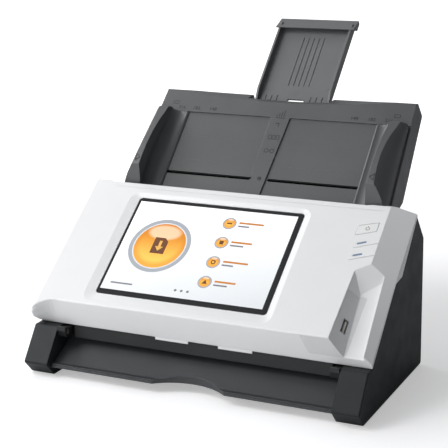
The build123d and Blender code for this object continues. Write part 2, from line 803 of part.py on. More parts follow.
with BuildPart() as pocket_tool:
    loft([pocket_section(pocket_low_s, pocket_mouth_x - 0.7, pocket_right_x + 0.9, pocket_floor + 1.2),
          pocket_section(pocket_high_s, pocket_mouth_x + 3.2, pocket_right_x - 3.2, pocket_floor - 9.0)],
         ruled=True)
    slope_y, slope_z = face_at(69.9)
    corner_y, corner_z = face_at(55.0, -12.0)
    upper_y, upper_z = face_at(79.2, 0.0)
    mouth_corner = Vector(126.0, slope_y - half_depth, slope_z)
    floor_corner = Vector(pocket_wall_x + 0.9, corner_y - half_depth, corner_z)
    crease_corner = Vector(139.3, upper_y - half_depth, upper_z)
    slope_normal = (floor_corner - mouth_corner).cross(crease_corner - mouth_corner)
    split(bisect_by=Plane(origin=mouth_corner, z_dir=slope_normal), keep=Keep.TOP)

with BuildPart() as band_tool:
    loft([band_section(160.0, band_fall_top), band_section(band_step_s, band_fall_step)], ruled=True)
    loft([band_section(band_step_s, band_fall_step), band_section(-24.0, band_fall_low)], ruled=True)

rim_start = -138.0
rim_curve = [(13.9, 60.7), (13.2, 55.0), (16.6, 48.8), (24.3, 44.8)]
lower_face = [(crease_y, crease_z), (cover_edge_y + 0.2, cover_edge_z)]


def rim_section(x, inset=0.0):
    """Cross-section of the drooping left-hand end of the crease, from nothing to its full droop."""
    droop = ((rim_start - x) / (rim_start + half_width)) ** 2
    points = [face_at(9.0)]
    for place, full in zip((0.0, 0.2, 0.48, 0.76), rim_curve):
        start_y = lower_face[0][0] + place * (lower_face[1][0] - lower_face[0][0])
        start_z = lower_face[0][1] + place * (lower_face[1][1] - lower_face[0][1])
        points.append((start_y + droop * (full[0] - start_y), start_z + droop * (full[1] - start_z)))
    points += [lower_face[1], (cover_edge_y + 3.0, cover_edge_z + 3.2), (cover_edge_y + 3.0, crease_z)]
    with BuildSketch(across(x)) as section:
        with BuildLine():
            Polyline(*points, close=True)
        make_face()
        if inset > 0:
            offset(amount=-inset, kind=Kind.INTERSECTION)
    return section.sketch


with BuildPart() as cover_body:
    with BuildSketch(across(-half_width)) as cover_outline:
        with BuildLine():
            Polyline(*cover_points, close=True)
        make_face()
        fillet(nearest(cover_outline, face_at(ear_top)), 3.0)
        fillet(nearest(cover_outline, (shoulder_y - 1.2, shoulder_z + 3.0)), 2.0)
        fillet(nearest(cover_outline, (crease_y, crease_z)), 1.6)
    extrude(amount=body_width)
    left_rim = cover_body.faces().sort_by(Axis.X)[0].edges()
    round_edges = left_rim.filter_by(lambda e: e.center().Z > cover_edge_z + 9 and
                                     (e.center().Y + half_depth - crease_y) * sin_face
                                     - (e.center().Z - crease_z) * cos_face < 6.0)
    fillet(round_edges, rim_radius)
    rim_bend = rim_radius - half_width
    loft([rim_section(rim_start + share * (rim_bend - rim_start)) for share in (0, 0.2, 0.4, 0.6, 0.8, 1)],
         ruled=True)
    loft([rim_section(rim_bend - rim_radius * sin(turn), rim_radius * (1 - cos(turn)))
          for turn in (0, radians(30), radians(60), radians(85))], ruled=True)

with BuildPart() as cover_shell:
    add(cover_body.part)
    # Well behind the top lip, between the two ears, and the lower middle of the top edge
    with BuildSketch(across(-ear_inner)):
        with BuildLine():
            Polyline((throat_back, 175.0), (throat_back, 149.2), (131.9, 149.2), (125.6, 123.6),
                     (119.0, 112.0), (160.0, 150.0), (160.0, 175.0), close=True)
        make_face()
    extrude(amount=2 * ear_inner, mode=Mode.SUBTRACT)
    with BuildSketch(on_face(-12)):
        with BuildLine():
            Polyline((-141.5, ear_top + 0.5), (-138.0, face_length), (116.5, face_length),
                     (129.0, ear_top + 0.1), (129.0, ear_top + 12), (-141.5, ear_top + 12), close=True)
        make_face()
    extrude(amount=24, mode=Mode.SUBTRACT)
    add(band_tool.part, mode=Mode.SUBTRACT)
    # Cavity open to the back
    with BuildSketch(across(-half_width + 2.8)):
        with BuildLine():
            Polyline(inner_crease, face_at(127.0, -cover_wall), (126.4, 133.0), (124.0, 122.0), (120.0, 90.0),
                     (60.0, 40.0), inner_low, close=True)
        make_face()
    extrude(amount=half_width - 2.8 + 119.0, mode=Mode.SUBTRACT)
    with BuildSketch(on_face(-cover_wall)):
        with BuildLine():
            Polyline((118.0, 128.0), (118.0, 84.0), (134.0, 90.0), (134.0, 128.0), close=True)
        make_face()
    extrude(amount=-40.0, mode=Mode.SUBTRACT)
    add(pocket_tool.part, mode=Mode.SUBTRACT)
    # Room for the inner plate under the solid right-hand end
    with BuildSketch(on_tray(under_clear)):
        with Locations((0, -200.0)):
            Rectangle(2 * ear_inner, 125.0)
    extrude(amount=-20.0, mode=Mode.SUBTRACT)
    # Socket opening in the pocket's left wall
    usb_y, usb_z = face_at(usb_s, usb_lift)
    wall_angle = atan2(wall_draft, 1.0)
    usb_normal = Vector(cos(wall_angle), -sin_face * sin(wall_angle), cos_face * sin(wall_angle))
    usb_plane = Plane(origin=(usb_x, usb_y - half_depth, usb_z), x_dir=(0, cos_face, sin_face),
                      z_dir=usb_normal)
    with BuildSketch(usb_plane):
        Rectangle(13.4, 6.2)
    extrude(amount=-16.0, both=True, mode=Mode.SUBTRACT)
    # Dished rim and opening of the display
    with BuildSketch(on_face(0.02)):
        with Locations(((rim_left + rim_right) / 2, (rim_low + rim_high) / 2)):
            RectangleRounded(rim_right - rim_left, rim_high - rim_low, 9.0)
    with BuildSketch(on_face(-display_set)):
        with Locations(((display_left + display_right) / 2, (display_low + display_high) / 2)):
            RectangleRounded(display_right - display_left + 1.6, display_high - display_low + 1.6, 4.0)
    loft(mode=Mode.SUBTRACT)
    with BuildSketch(on_face(-display_set + 0.02)):
        with Locations(((display_left + display_right) / 2, (display_low + display_high) / 2)):
            RectangleRounded(display_right - display_left + 2 * display_gap,
                             display_high - display_low + 2 * display_gap, display_radius + display_gap)
    extrude(amount=-6.0, mode=Mode.SUBTRACT)
    # Openings of the power button and the two indicators
    with BuildSketch(on_face(1)):
        with BuildLine():
            Polyline(*button_corners, close=True)
        make_face()
        offset(amount=button_gap, kind=Kind.INTERSECTION)
    extrude(amount=-8.0, mode=Mode.SUBTRACT)
    with BuildSketch(on_face(1)):
        with Locations(*lens_places):
            SlotOverall(lens_length + 0.2, lens_width + 0.2, rotation=lens_tilt)
    extrude(amount=-8.0, mode=Mode.SUBTRACT)
    # Fine groove under each indicator and two latch tabs on the lower edge
    with BuildSketch(on_face(1)):
        with Locations(*[(x + 5.1, s - 2.2) for x, s in lens_places]):
            Rectangle(groove_length, 0.6, rotation=lens_tilt)
    extrude(amount=-1.4, mode=Mode.SUBTRACT)
    for tab_left, tab_right in edge_tabs:
        with BuildSketch(across(tab_left)):
            with BuildLine():
                Polyline((cover_edge_y + 0.25, cover_edge_z - 2.4), (bar_y - 0.2, cover_edge_z - 2.4),
                         (bar_y - 0.2, cover_edge_z + 2.0), (cover_edge_y + 0.25, cover_edge_z + 0.7),
                         close=True)
            make_face()
        extrude(amount=tab_right - tab_left)

# Separately moulded corner that carries the socket: pocket wall and lower face beside it
with BuildPart() as corner_region:
    with BuildSketch(facing_front(cover_edge_y + 70.0)):
        with BuildLine():
            Polyline((97.2, 69.0), (104.8, 50.2), (136.6, 50.2), (142.0, 110.0), (97.2, 110.0), close=True)
        make_face()
    extrude(amount=100.0)
    with BuildSketch(on_face(-0.9)):
        with Locations((120.0, 6.0)):
            Rectangle(80.0, 90.0)
    extrude(amount=-40.0, mode=Mode.INTERSECT)

with BuildPart() as socket_corner:
    add(cover_shell.part)
    add(corner_region.part, mode=Mode.INTERSECT)

with BuildPart() as front_cover:
    add(cover_shell.part)
    add(corner_region.part, mode=Mode.SUBTRACT)

front_cover.part.label = "front_cover"
export_step(front_cover.part, "parts/front_cover.step")
socket_corner.part.label = "socket_corner"
export_step(socket_corner.part, "parts/socket_corner.step")

# Memory-stick socket: thin metal shell with its tongue, set square to the pocket wall
with BuildPart() as usb_shell:
    with BuildSketch(usb_plane.offset(-0.6)):
        Rectangle(13.0, 5.8)
        Rectangle(12.2, 5.0, mode=Mode.SUBTRACT)
    extrude(amount=-13.0)
    with BuildSketch(usb_plane.offset(-13.0)):
        Rectangle(13.0, 5.8)
    extrude(amount=-0.6)
usb_shell.part.label = "usb_shell"
export_step(usb_shell.part, "parts/usb_shell.step")

with BuildPart() as usb_tongue:
    with BuildSketch(usb_plane.offset(-1.6)):
        with Locations((0, -1.2)):
            Rectangle(11.4, 1.9)
    extrude(amount=-11.4)
usb_tongue.part.label = "usb_tongue"
export_step(usb_tongue.part, "parts/usb_tongue.step")

# Display: front glass, panel behind it and driver board
display_middle = ((display_left + display_right) / 2, (display_low + display_high) / 2)
display_wide = display_right - display_left
display_tall = display_high - display_low
panel_low = 12.5
panel_high = 122.3
panel_lift = -display_set - glass_thick - 0.05
driver_lift = panel_lift - panel_thick - 0.1

with BuildPart() as display_glass:
    with BuildSketch(on_face(-display_set)):
        with Locations(display_middle):
            RectangleRounded(display_wide, display_tall, display_radius)
    extrude(amount=-glass_thick)
    chamfer(display_glass.faces().sort_by(Axis.Z)[-1].edges(), 0.3)
display_glass.part.label = "display_glass"
export_step(display_glass.part, "parts/display_glass.step")

with BuildPart() as display_panel:
    with BuildSketch(on_face(panel_lift)):
        with Locations((display_middle[0], (panel_low + panel_high) / 2)):
            RectangleRounded(display_wide + 4, panel_high - panel_low, 2.0)
    extrude(amount=-panel_thick)
display_panel.part.label = "display_panel"
export_step(display_panel.part, "parts/display_panel.step")

with BuildPart() as driver_board:
    with BuildSketch(on_face(driver_lift)):
        with Locations((-20.0, 66.0)):
            Rectangle(96.0, 60.0)
    extrude(amount=-1.6)
driver_board.part.label = "driver_board"
export_step(driver_board.part, "parts/driver_board.step")

# Power button, indicator windows and the small board that they stand on
with BuildPart() as power_button:
    with BuildSketch(on_face(0.2)):
        with BuildLine():
            Polyline(*button_corners, close=True)
        make_face()
    extrude(amount=-cover_wall - 0.6)
    chamfer(power_button.faces().sort_by(Axis.Z)[-1].edges(), 0.35)
power_button.part.label = "power_button"
export_step(power_button.part, "parts/power_button.step")

button_board_lift = -cover_wall - 0.6 - button_travel - 0.6

with BuildPart() as indicator_windows:
    with BuildSketch(on_face(-0.1)):
        with Locations(*lens_places):
            SlotOverall(lens_length, lens_width, rotation=lens_tilt)
    extrude(amount=button_board_lift + 0.3)
indicator_windows.part.label = "indicator_windows"
export_step(indicator_windows.part, "parts/indicator_windows.step")

with BuildPart() as button_board:
    with BuildSketch(on_face(button_board_lift)):
        with BuildLine():
            Polyline((118.5, 127.0), (118.5, 85.0), (130.0, 90.5), (130.0, 127.0), close=True)
        make_face()
    extrude(amount=-1.2)
button_board.part.label = "button_board"
export_step(button_board.part, "parts/button_board.step")

# Inner plate of the cover: upper paper guide, throat wall, exit bar and hinge arms
sheet_lift = 0.0
plate_thick = 2.2
pad_s = 156.0
bracket_inner = 26.0
bracket_outer = 54.0
axle_radius = 1.5
holder_pin_s = 173.5
holder_pin_lift = 4.6
holder_pin_radius = 1.2
holder_pin = tray_at(holder_pin_s, holder_pin_lift)
sheet_start = 146.0

with BuildPart() as cover_inner_plate:
    with BuildSketch(on_tray(sheet_lift)):
        with Locations((0, -(sheet_start + 264.0) / 2)):
            Rectangle(2 * inner_half, 264.0 - sheet_start)
        with Locations((0, -163.5)):
            Rectangle(44.0, 28.0, mode=Mode.SUBTRACT)
        with Locations(*[(x, -s) for x in drive_tyre_places for s in (drive_s, exit_s)]):
            Rectangle(bracket_outer - bracket_inner - 2, 12.0, mode=Mode.SUBTRACT)
        with Locations((0, -scan_s)):
            Rectangle(2 * bar_half + 0.8, bar_width + 0.8, mode=Mode.SUBTRACT)
        with Locations((sensor_x, -sensor_s)):
            Rectangle(4.2, 12.0, mode=Mode.SUBTRACT)
    extrude(amount=plate_thick)
    with BuildSketch(across(-inner_half)):
        with BuildLine():
            Polyline(tray_at(sheet_start, 0), (134.6, 148.0), (132.3, 148.4),
                     tray_at(sheet_start + 2.5, plate_thick), close=True)
        make_face()
    extrude(amount=2 * inner_half)
    with BuildSketch(across(-inner_half + 2.0)):
        with BuildLine():
            Polyline((bar_y, bar_low), (bar_y + 0.9, bar_low + 0.2), tray_at(262.0, 0),
                     tray_at(262.0, plate_thick), (36.6, 42.6), (bar_y, 42.6), close=True)
        make_face()
    extrude(amount=2 * inner_half - 4.0)
    with BuildSketch(on_tray(plate_thick)):
        with Locations((inner_half - 1.0, -206.0), (-inner_half + 1.0, -206.0)):
            Rectangle(2.0, 108.0)
        with Locations((0, -190.0), (0, -210.0), (0, -243.0)):
            Rectangle(2 * inner_half, 1.6)
    extrude(amount=4.0)
    for side in (-1, 1):
        for place in (-bracket_outer, -bracket_inner, bracket_inner, bracket_outer):
            with BuildSketch(across(place - 0.8)):
                for axle_s, axle in ((drive_s, drive_pinch_axis), (exit_s, exit_pinch_axis)):
                    with BuildLine():
                        Polyline(tray_at(axle_s - 5.0, 1.0), tray_at(axle_s - 2.4, 6.6),
                                 tray_at(axle_s + 2.4, 6.6), tray_at(axle_s + 5.0, 1.0), close=True)
                    make_face()
                    with Locations(axle):
                        Circle(axle_radius + running_fit, mode=Mode.SUBTRACT)
            extrude(amount=1.6)
        with BuildSketch(across(side * 23.6 - 0.8)):
            with BuildLine():
                Polyline(tray_at(holder_pin_s - 5.0, 1.0), tray_at(holder_pin_s - 2.2, 7.2),
                         tray_at(holder_pin_s + 2.2, 7.2), tray_at(holder_pin_s + 5.0, 1.0), close=True)
            make_face()
            with Locations(holder_pin):
                Circle(holder_pin_radius + running_fit, mode=Mode.SUBTRACT)
        extrude(amount=1.6)
cover_inner_plate.part.label = "cover_inner_plate"
export_step(cover_inner_plate.part, "parts/cover_inner_plate.step")

# Flat-topped hinge arms at both ends of the inner plate, each turning with a pin in its foot
with BuildPart() as hinge_arms:
    for side in (-1, 1):
        with BuildSketch(across(side * arm_outer)):
            with BuildLine():
                Polyline((hinge_y - 4.6, hinge_z + 5.6), (hinge_y + 6.5, hinge_z + 2.6), (36.6, 42.4),
                         tray_at(262.0, plate_thick), tray_at(263.0, 0.2), (bar_y + 2.5, bar_low + 4.0),
                         (hinge_y + 4.0, hinge_z - 4.4), (hinge_y - 2.3, hinge_z - 4.2),
                         (hinge_y - 4.9, hinge_z + 1.8), close=True)
            make_face()
            with Locations((hinge_y, hinge_z)):
                Circle(hinge_pin + 0.02, mode=Mode.SUBTRACT)
        extrude(amount=-side * (arm_outer - inner_half - 0.05))
hinge_arms.part.label = "hinge_arms"
export_step(hinge_arms.part, "parts/hinge_arms.step")

with BuildPart() as hinge_pins:
    for side in (-1, 1):
        with BuildSketch(across(side * (foot_inner + 6.5))):
            with Locations((hinge_y, hinge_z)):
                Circle(hinge_pin)
        extrude(amount=-side * (foot_inner + 6.5 - inner_half - 0.5))
hinge_pins.part.label = "hinge_pins"
export_step(hinge_pins.part, "parts/hinge_pins.step")

# Pinch rollers on steel axles over the drive and exit rollers
for pinch_name, pinch_axis in (("drive_pinch", drive_pinch_axis), ("exit_pinch", exit_pinch_axis)):
    with BuildPart() as pinch_axle:
        with BuildSketch(across(-bracket_outer - 1.6)):
            with Locations(pinch_axis):
                Circle(axle_radius)
        extrude(amount=2 * bracket_outer + 3.2)
    pinch_axle.part.label = pinch_name + "_axle"
    export_step(pinch_axle.part, f"parts/{pinch_name}_axle.step")
    with BuildPart() as pinch_rollers:
        for place in drive_tyre_places:
            with BuildSketch(across(place - drive_tyre_length / 2 + 0.6)):
                with Locations(pinch_axis):
                    Circle(pinch_radius)
                    Circle(axle_radius + 0.02, mode=Mode.SUBTRACT)
            extrude(amount=drive_tyre_length - 1.2)
    pinch_rollers.part.label = pinch_name + "_rollers"
    export_step(pinch_rollers.part, f"parts/{pinch_name}_rollers.step")

# Separation pad over the feed roller and its sprung holder
with BuildPart() as separation_pad:
    with BuildSketch(on_tray(nip_level + nip_gap)):
        with Locations((0, -pad_s)):
            RectangleRounded(38.0, 11.0, 1.0)
    extrude(amount=3.4)
separation_pad.part.label = "separation_pad"
export_step(separation_pad.part, "parts/separation_pad.step")

with BuildPart() as pad_holder:
    with BuildSketch(on_tray(nip_level + nip_gap + 3.45)):
        with Locations((0, -(pad_s - 5.5 + holder_pin_s) / 2)):
            Rectangle(41.0, holder_pin_s - pad_s + 5.5)
    extrude(amount=2.0)
    with BuildSketch(across(-20.5)):
        with Locations(holder_pin):
            Circle(2.3)
    extrude(amount=41.0)
    with BuildSketch(across(-20.5)):
        with Locations(holder_pin):
            Circle(holder_pin_radius + running_fit)
    extrude(amount=41.0, mode=Mode.SUBTRACT)
pad_holder.part.label = "pad_holder"
export_step(pad_holder.part, "parts/pad_holder.step")

with BuildPart() as holder_pin_rod:
    with BuildSketch(across(-24.5)):
        with Locations(holder_pin):
            Circle(holder_pin_radius)
    extrude(amount=49.0)
holder_pin_rod.part.label = "holder_pin"
export_step(holder_pin_rod.part, "parts/holder_pin.step")

# Tray shell: skin with side skirts, dipped front edge over raised wings, sheet panels and slots
skin_under = -panel_drop - tray_skin
passage_half = 42.2
wing_lift = -14.0

with BuildPart() as dip_tool:
    with BuildSketch(on_tray(2.0)) as dip_front:
        with BuildLine():
            front_arc = ThreePointArc((-tray_dip_half - 9, 2.2), (0, -tray_dip + 1.4),
                                      (tray_dip_half + 9, 2.2))
            Polyline(front_arc @ 1, (tray_dip_half + 9, 40.0), (-tray_dip_half - 9, 40.0), front_arc @ 0)
        make_face()
    with BuildSketch(on_tray(wing_lift)) as dip_back:
        with BuildLine():
            back_arc = ThreePointArc((-tray_dip_half - 9, 10.6), (0, 9.2), (tray_dip_half + 9, 10.6))
            Polyline(back_arc @ 1, (tray_dip_half + 9, 40.0), (-tray_dip_half - 9, 40.0), back_arc @ 0)
        make_face()
    loft()


def tray_outline(inset, high_s, low_s):
    """Corners of the widening plan of the tray, drawn in by inset, between two distances down the slope."""
    widening = (tray_half_low - tray_half_top) / tray_length
    high_half = tray_half_top + widening * high_s - inset
    low_half = tray_half_top + widening * low_s - inset
    return [(-high_half, -high_s), (high_half, -high_s), (low_half, -low_s), (-low_half, -low_s)]


with BuildPart() as tray_shell:
    with BuildSketch(across(-tray_half_low - 1)) as tray_section:
        with BuildLine():
            Polyline(tray_at(0, 0), tray_at(-8.6, -12.0), tray_at(-6.0, -skirt_top),
                     tray_at(90.0, -skirt_low),
                     tray_at(106.0, -tray_depth), tray_at(128.0, -tray_depth),
                     tray_at(tray_length, -tray_depth + 4), tray_at(tray_length, 0), close=True)
        make_face()
    extrude(amount=2 * tray_half_low + 2)
    with BuildSketch(on_tray(1.0)) as tray_plan:
        Polygon(*tray_outline(0, -8.6, tray_length + 1), align=None)
        fillet(tray_plan.vertices().group_by(Axis.Y)[-1], tray_corner)
    extrude(amount=-40.0, mode=Mode.INTERSECT)
    add(dip_tool.part, mode=Mode.SUBTRACT)
    # Hollow underneath, and the passage of the extension
    with BuildSketch(on_tray(skin_under)):
        Polygon(*tray_outline(tray_skin, 14.0, tray_length + 2), align=None)
    extrude(amount=-30.0, mode=Mode.SUBTRACT)
    with BuildSketch(on_tray(skin_under)):
        with Locations((0, 10.0)):
            Rectangle(2 * passage_half, 60.0)
    extrude(amount=-30.0, mode=Mode.SUBTRACT)
    # Shallow sheet panels either side of the centre band
    with BuildSketch(on_tray(0)):
        with BuildLine():
            Polyline((-panel_half, -panel_top_s), (-panel_inner, -panel_top_s),
                     (-panel_inner, -tray_length - 1),
                     (-panel_half, -tray_length - 1), close=True)
        make_face()
        with BuildLine():
            Polyline((panel_half, -panel_top_s), (panel_inner + 0.8, -panel_top_s),
                     (panel_inner - 5.0, -tray_length - 1), (panel_half, -tray_length - 1), close=True)
        make_face()
    extrude(amount=-panel_drop, mode=Mode.SUBTRACT)
    slot_middle = (slot_start + slot_end) / 2
    with BuildSketch(on_tray(0)):
        with Locations((-slot_middle, -slot_s), (slot_middle, -slot_s)):
            SlotOverall(slot_end - slot_start, slot_width)
    extrude(amount=-8.0, mode=Mode.SUBTRACT)
    # Stud of the rack pinion
    with BuildSketch(on_tray(skin_under + 0.5)):
        with Locations((0, -slot_s)):
            Circle(2.4)
    extrude(amount=-3.9)
tray_shell.part.label = "tray_shell"
export_step(tray_shell.part, "parts/tray_shell.step")

# Back plate of the tray with the two runners of the extension
back_plate_lift = -17.4

with BuildPart() as tray_back_plate:
    with BuildSketch(on_tray(back_plate_lift)):
        Polygon(*tray_outline(tray_skin + 0.3, 14.6, 127.0), align=None)
    extrude(amount=-(tray_depth + back_plate_lift))
    with BuildSketch(on_tray(back_plate_lift)):
        with Locations((-40.4, -70.0), (40.4, -70.0)):
            Rectangle(2.0, 104.0)
    extrude(amount=8.6)
tray_back_plate.part.label = "tray_back_plate"
export_step(tray_back_plate.part, "parts/tray_back_plate.step")

# Sheet guides: lofted fence on a foot, with an arm through the slot to a toothed rack
pinion_radius = pinion_teeth * pinion_module / 2
rack_top = skin_under - 0.3
rack_thick = 3.0
rack_pitch = pi * pinion_module
foot_low = -panel_drop + guide_play
guide_sections = [(26.2, 7.0, 123.0), (29.5, 12.0, 123.3), (38.0, 14.9, 122.1), (50.0, 19.0, 120.3),
                  (66.0, 22.8, 118.9), (84.0, 25.1, 118.8), (104.0, 25.0, 120.3), (134.5, 22.6, 124.2)]
guide_stations = [26.2, 27.8, 29.5, 33.5, 38.0, 44.0, 50.0, 58.0, 66.0, 75.0, 84.0, 94.0, 104.0, 119.0, 134.5]
guide_end_y = 140.9


def guide_height_and_edge(s):
    """Height of the fence and edge of its flange at s, on a smooth curve through the guide sections."""
    index = max(i for i in range(len(guide_sections) - 1) if guide_sections[i][0] <= s)
    near = guide_sections[max(0, index - 1):index + 3]
    here, after = guide_sections[index], guide_sections[index + 1]
    share = (s - here[0]) / (after[0] - here[0])
    found = []
    for column in (1, 2):
        start_slope = (after[column] - near[0][column]) / (after[0] - near[0][0]) * (after[0] - here[0])
        end_slope = (near[-1][column] - here[column]) / (near[-1][0] - here[0]) * (after[0] - here[0])
        found.append((2 * share ** 3 - 3 * share ** 2 + 1) * here[column]
                     + (share ** 3 - 2 * share ** 2 + share) * start_slope
                     + (3 * share ** 2 - 2 * share ** 3) * after[column]
                     + (share ** 3 - share ** 2) * end_slope)
    return found


def guide_profile(s, height, flange_outer):
    """Cross-section of the right guide: toe, scooped ramp, fence, flange and bulged outer side."""
    foot_outer = guide_outer + guide_flare * s
    with BuildSketch(across_tray(s)) as profile:
        with BuildLine():
            Line((guide_toe, foot_low), (foot_outer, foot_low))
            ThreePointArc((foot_outer, foot_low), ((flange_outer + foot_outer) / 2 + 1.6, height * 0.6),
                          (flange_outer, height))
            Line((flange_outer, height), (guide_wall, height))
            Line((guide_wall, height), (guide_wall - 0.9, height * 0.55))
            ThreePointArc((guide_wall - 0.9, height * 0.55), (guide_wall - 4.6, 1.9), (guide_toe + 1.6, 0.7))
            Line((guide_toe + 1.6, 0.7), (guide_toe, foot_low + 0.6))
            Line((guide_toe, foot_low + 0.6), (guide_toe, foot_low))
        make_face()
    return profile.sketch


for side, guide_name in ((1, "right_guide"), (-1, "left_guide")):
    with BuildPart() as guide:
        loft([guide_profile(s, *guide_height_and_edge(s)) for s in guide_stations], ruled=True)
        with BuildSketch(level(0)):
            with Locations((guide_wall, guide_end_y - 20.0)):
                Rectangle(60.0, 40.0)
        extrude(amount=250.0, mode=Mode.SUBTRACT)
        # Arm through the slot, then the rack that passes the pinion
        with BuildSketch(on_tray(foot_low)):
            with Locations((106.0, -slot_s)):
                Rectangle(12.0, slot_width - 0.5)
        extrude(amount=rack_top - rack_thick - foot_low)
        rack_line = -slot_s + side * (pinion_radius + mesh_gap)
        rack_far = -slot_s + side * (pinion_radius + mesh_gap + 4.4)
        with BuildSketch(on_tray(rack_top)):
            with Locations((106.0, (-slot_s + rack_far) / 2)):
                Rectangle(12.0, abs(rack_far + slot_s) + slot_width - 0.5)
            with BuildLine():
                Polyline((112.0, rack_far), (112.0, rack_line + side * 1.2), (-10.0, rack_line + side * 1.2),
                         (-10.0, rack_far), close=True)
            make_face()
            for index in range(-3, 26):
                middle = (index + 0.5) * rack_pitch
                with BuildLine():
                    Polyline((middle - 1.05, rack_line + side * 1.4),
                             (middle - 0.34, rack_line - side * 0.85),
                             (middle + 0.34, rack_line - side * 0.85),
                             (middle + 1.05, rack_line + side * 1.4),
                             close=True)
                make_face()
        extrude(amount=-rack_thick)
        if side < 0:
            mirror(about=Plane.YZ, mode=Mode.REPLACE)
    guide.part.label = guide_name
    export_step(guide.part, f"parts/{guide_name}.step")

with BuildPart() as rack_pinion:
    with BuildSketch(on_tray(rack_top)):
        with Locations((0, -slot_s)):
            Polygon(*tooth_points(pinion_teeth, pinion_module, pi / 2), align=None)
            Circle(2.4 + running_fit, mode=Mode.SUBTRACT)
    extrude(amount=-rack_thick)
rack_pinion.part.label = "rack_pinion"
export_step(rack_pinion.part, "parts/rack_pinion.step")

# Tray extension: grooved plate with side walls, a window and a curled lip
plate_top = -extension_drop
plate_under = plate_top - extension_plate
lip_half = 41.4

with BuildPart() as tray_extension:
    with BuildSketch(on_tray(plate_under)):
        with Locations((0, (100.0 - 22.0) / 2)):
            Rectangle(2 * extension_half, 122.0)
        with Locations((2.2, 0.4)):
            RectangleRounded(17.4, 13.6, 2.0, mode=Mode.SUBTRACT)
    extrude(amount=extension_plate)
    for side in (-1, 1):
        with BuildSketch(across(side * extension_half)):
            with BuildLine():
                Polyline(tray_at(8.0, plate_top - 0.2), tray_at(-14.0, plate_top + extension_wall),
                         tray_at(-98.0, plate_top + extension_wall), tray_at(-98.0, plate_top - 0.2),
                         close=True)
            make_face()
        extrude(amount=-side * 2.0)
    with BuildSketch(across(-lip_half)):
        with BuildLine():
            Polyline(tray_at(-89.6, -7.1), tray_at(-105.6, -13.3), tray_at(extension_tip_s, plate_under),
                     tray_at(-96.0, plate_under), tray_at(-96.0, -13.2), tray_at(-90.4, -9.2), close=True)
        make_face()
    extrude(amount=2 * lip_half)
    with BuildSketch(on_tray(plate_top)):
        with Locations(*[(-10.1 + 5.4 * index, 53.3) for index in range(5)]):
            Rectangle(1.1, 60.0)
        with Locations(*[(side * (17.5 + 6.0 * index), 4.5) for index in range(4) for side in (-1, 1)]):
            Rectangle(1.1, 13.0)
    extrude(amount=-0.6, mode=Mode.SUBTRACT)
tray_extension.part.label = "tray_extension"
export_step(tray_extension.part, "parts/tray_extension.step")
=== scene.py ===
# Looks of the sheet-fed document scanner: materials, screen picture, printed marks, screws, light and camera.
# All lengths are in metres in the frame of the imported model.
# The plane functions take millimetres: across, up or down the slope, and lift above it.
from math import cos, pi, radians, sin

import bmesh
import bpy
from mathutils import Matrix, Vector


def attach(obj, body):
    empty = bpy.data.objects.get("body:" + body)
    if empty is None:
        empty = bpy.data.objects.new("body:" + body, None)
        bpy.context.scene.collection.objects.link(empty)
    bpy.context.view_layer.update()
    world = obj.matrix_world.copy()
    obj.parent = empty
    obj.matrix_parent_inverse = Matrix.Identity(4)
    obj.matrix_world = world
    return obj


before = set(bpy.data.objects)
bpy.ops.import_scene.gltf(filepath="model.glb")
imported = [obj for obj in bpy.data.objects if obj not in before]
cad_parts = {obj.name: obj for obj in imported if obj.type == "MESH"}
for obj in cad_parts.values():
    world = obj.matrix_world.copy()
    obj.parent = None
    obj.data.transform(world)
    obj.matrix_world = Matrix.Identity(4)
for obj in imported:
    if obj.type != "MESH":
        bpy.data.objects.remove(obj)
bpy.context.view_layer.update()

MM = 0.001
# Sizes of the part that the looks line up with: depth from the front of the feet, then height above the floor
HALF_DEPTH = 161.055
FACE_TILT = radians(36.9)
FACE_FOOT = (23.3, 67.7)
TRAY_TILT = radians(44.1)
TRAY_TOP = (234.5, 226.4)
BODY_BACK = 166.0
BASE_UNDER = 0.8
# Lifts of the surfaces that carry print or marks
SCREEN_LIFT = -1.5
BUTTON_LIFT = 0.21
PANEL_LIFT = -1.4
GUIDE_LIFT = 25.0
EXTENSION_LIFT = -14.9

scene = bpy.context.scene
scene.view_settings.view_transform = "Standard"


def row(x, depth, height):
    """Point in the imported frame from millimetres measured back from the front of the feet."""
    return Vector((x * MM, (depth - HALF_DEPTH) * MM, height * MM))


def on_face(x, s, lift=0.0):
    """Point on the cover's front face: s up the slope from the crease, lift above it."""
    depth = FACE_FOOT[0] + s * cos(FACE_TILT) - lift * sin(FACE_TILT)
    height = FACE_FOOT[1] + s * sin(FACE_TILT) + lift * cos(FACE_TILT)
    return row(x, depth, height)


def on_tray(x, s, lift=0.0):
    """Point on the tray: s down the slope from its top edge, lift above it."""
    depth = TRAY_TOP[0] - s * cos(TRAY_TILT) - lift * sin(TRAY_TILT)
    height = TRAY_TOP[1] - s * sin(TRAY_TILT) + lift * cos(TRAY_TILT)
    return row(x, depth, height)


def add(tree, kind, **values):
    """New shader node with the given socket values; a tuple of a node and a socket name makes a link."""
    made = tree.nodes.new(kind)
    for name, value in values.items():
        socket = made.inputs[name.replace("_", " ")]
        if isinstance(value, bpy.types.NodeSocket):
            tree.links.new(value, socket)
        else:
            socket.default_value = value
    return made


def maths(tree, operation, first, second):
    """Output of a Math node over two values or sockets."""
    made = tree.nodes.new("ShaderNodeMath")
    made.operation = operation
    for socket, value in zip(made.inputs, (first, second)):
        if isinstance(value, bpy.types.NodeSocket):
            tree.links.new(value, socket)
        else:
            socket.default_value = value
    return made.outputs[0]


def noise(tree, coords, scale, detail=3.0):
    """Value of a noise texture."""
    made = add(tree, "ShaderNodeTexNoise", Vector=coords, Scale=scale, Detail=detail)
    return made.outputs["Fac"]


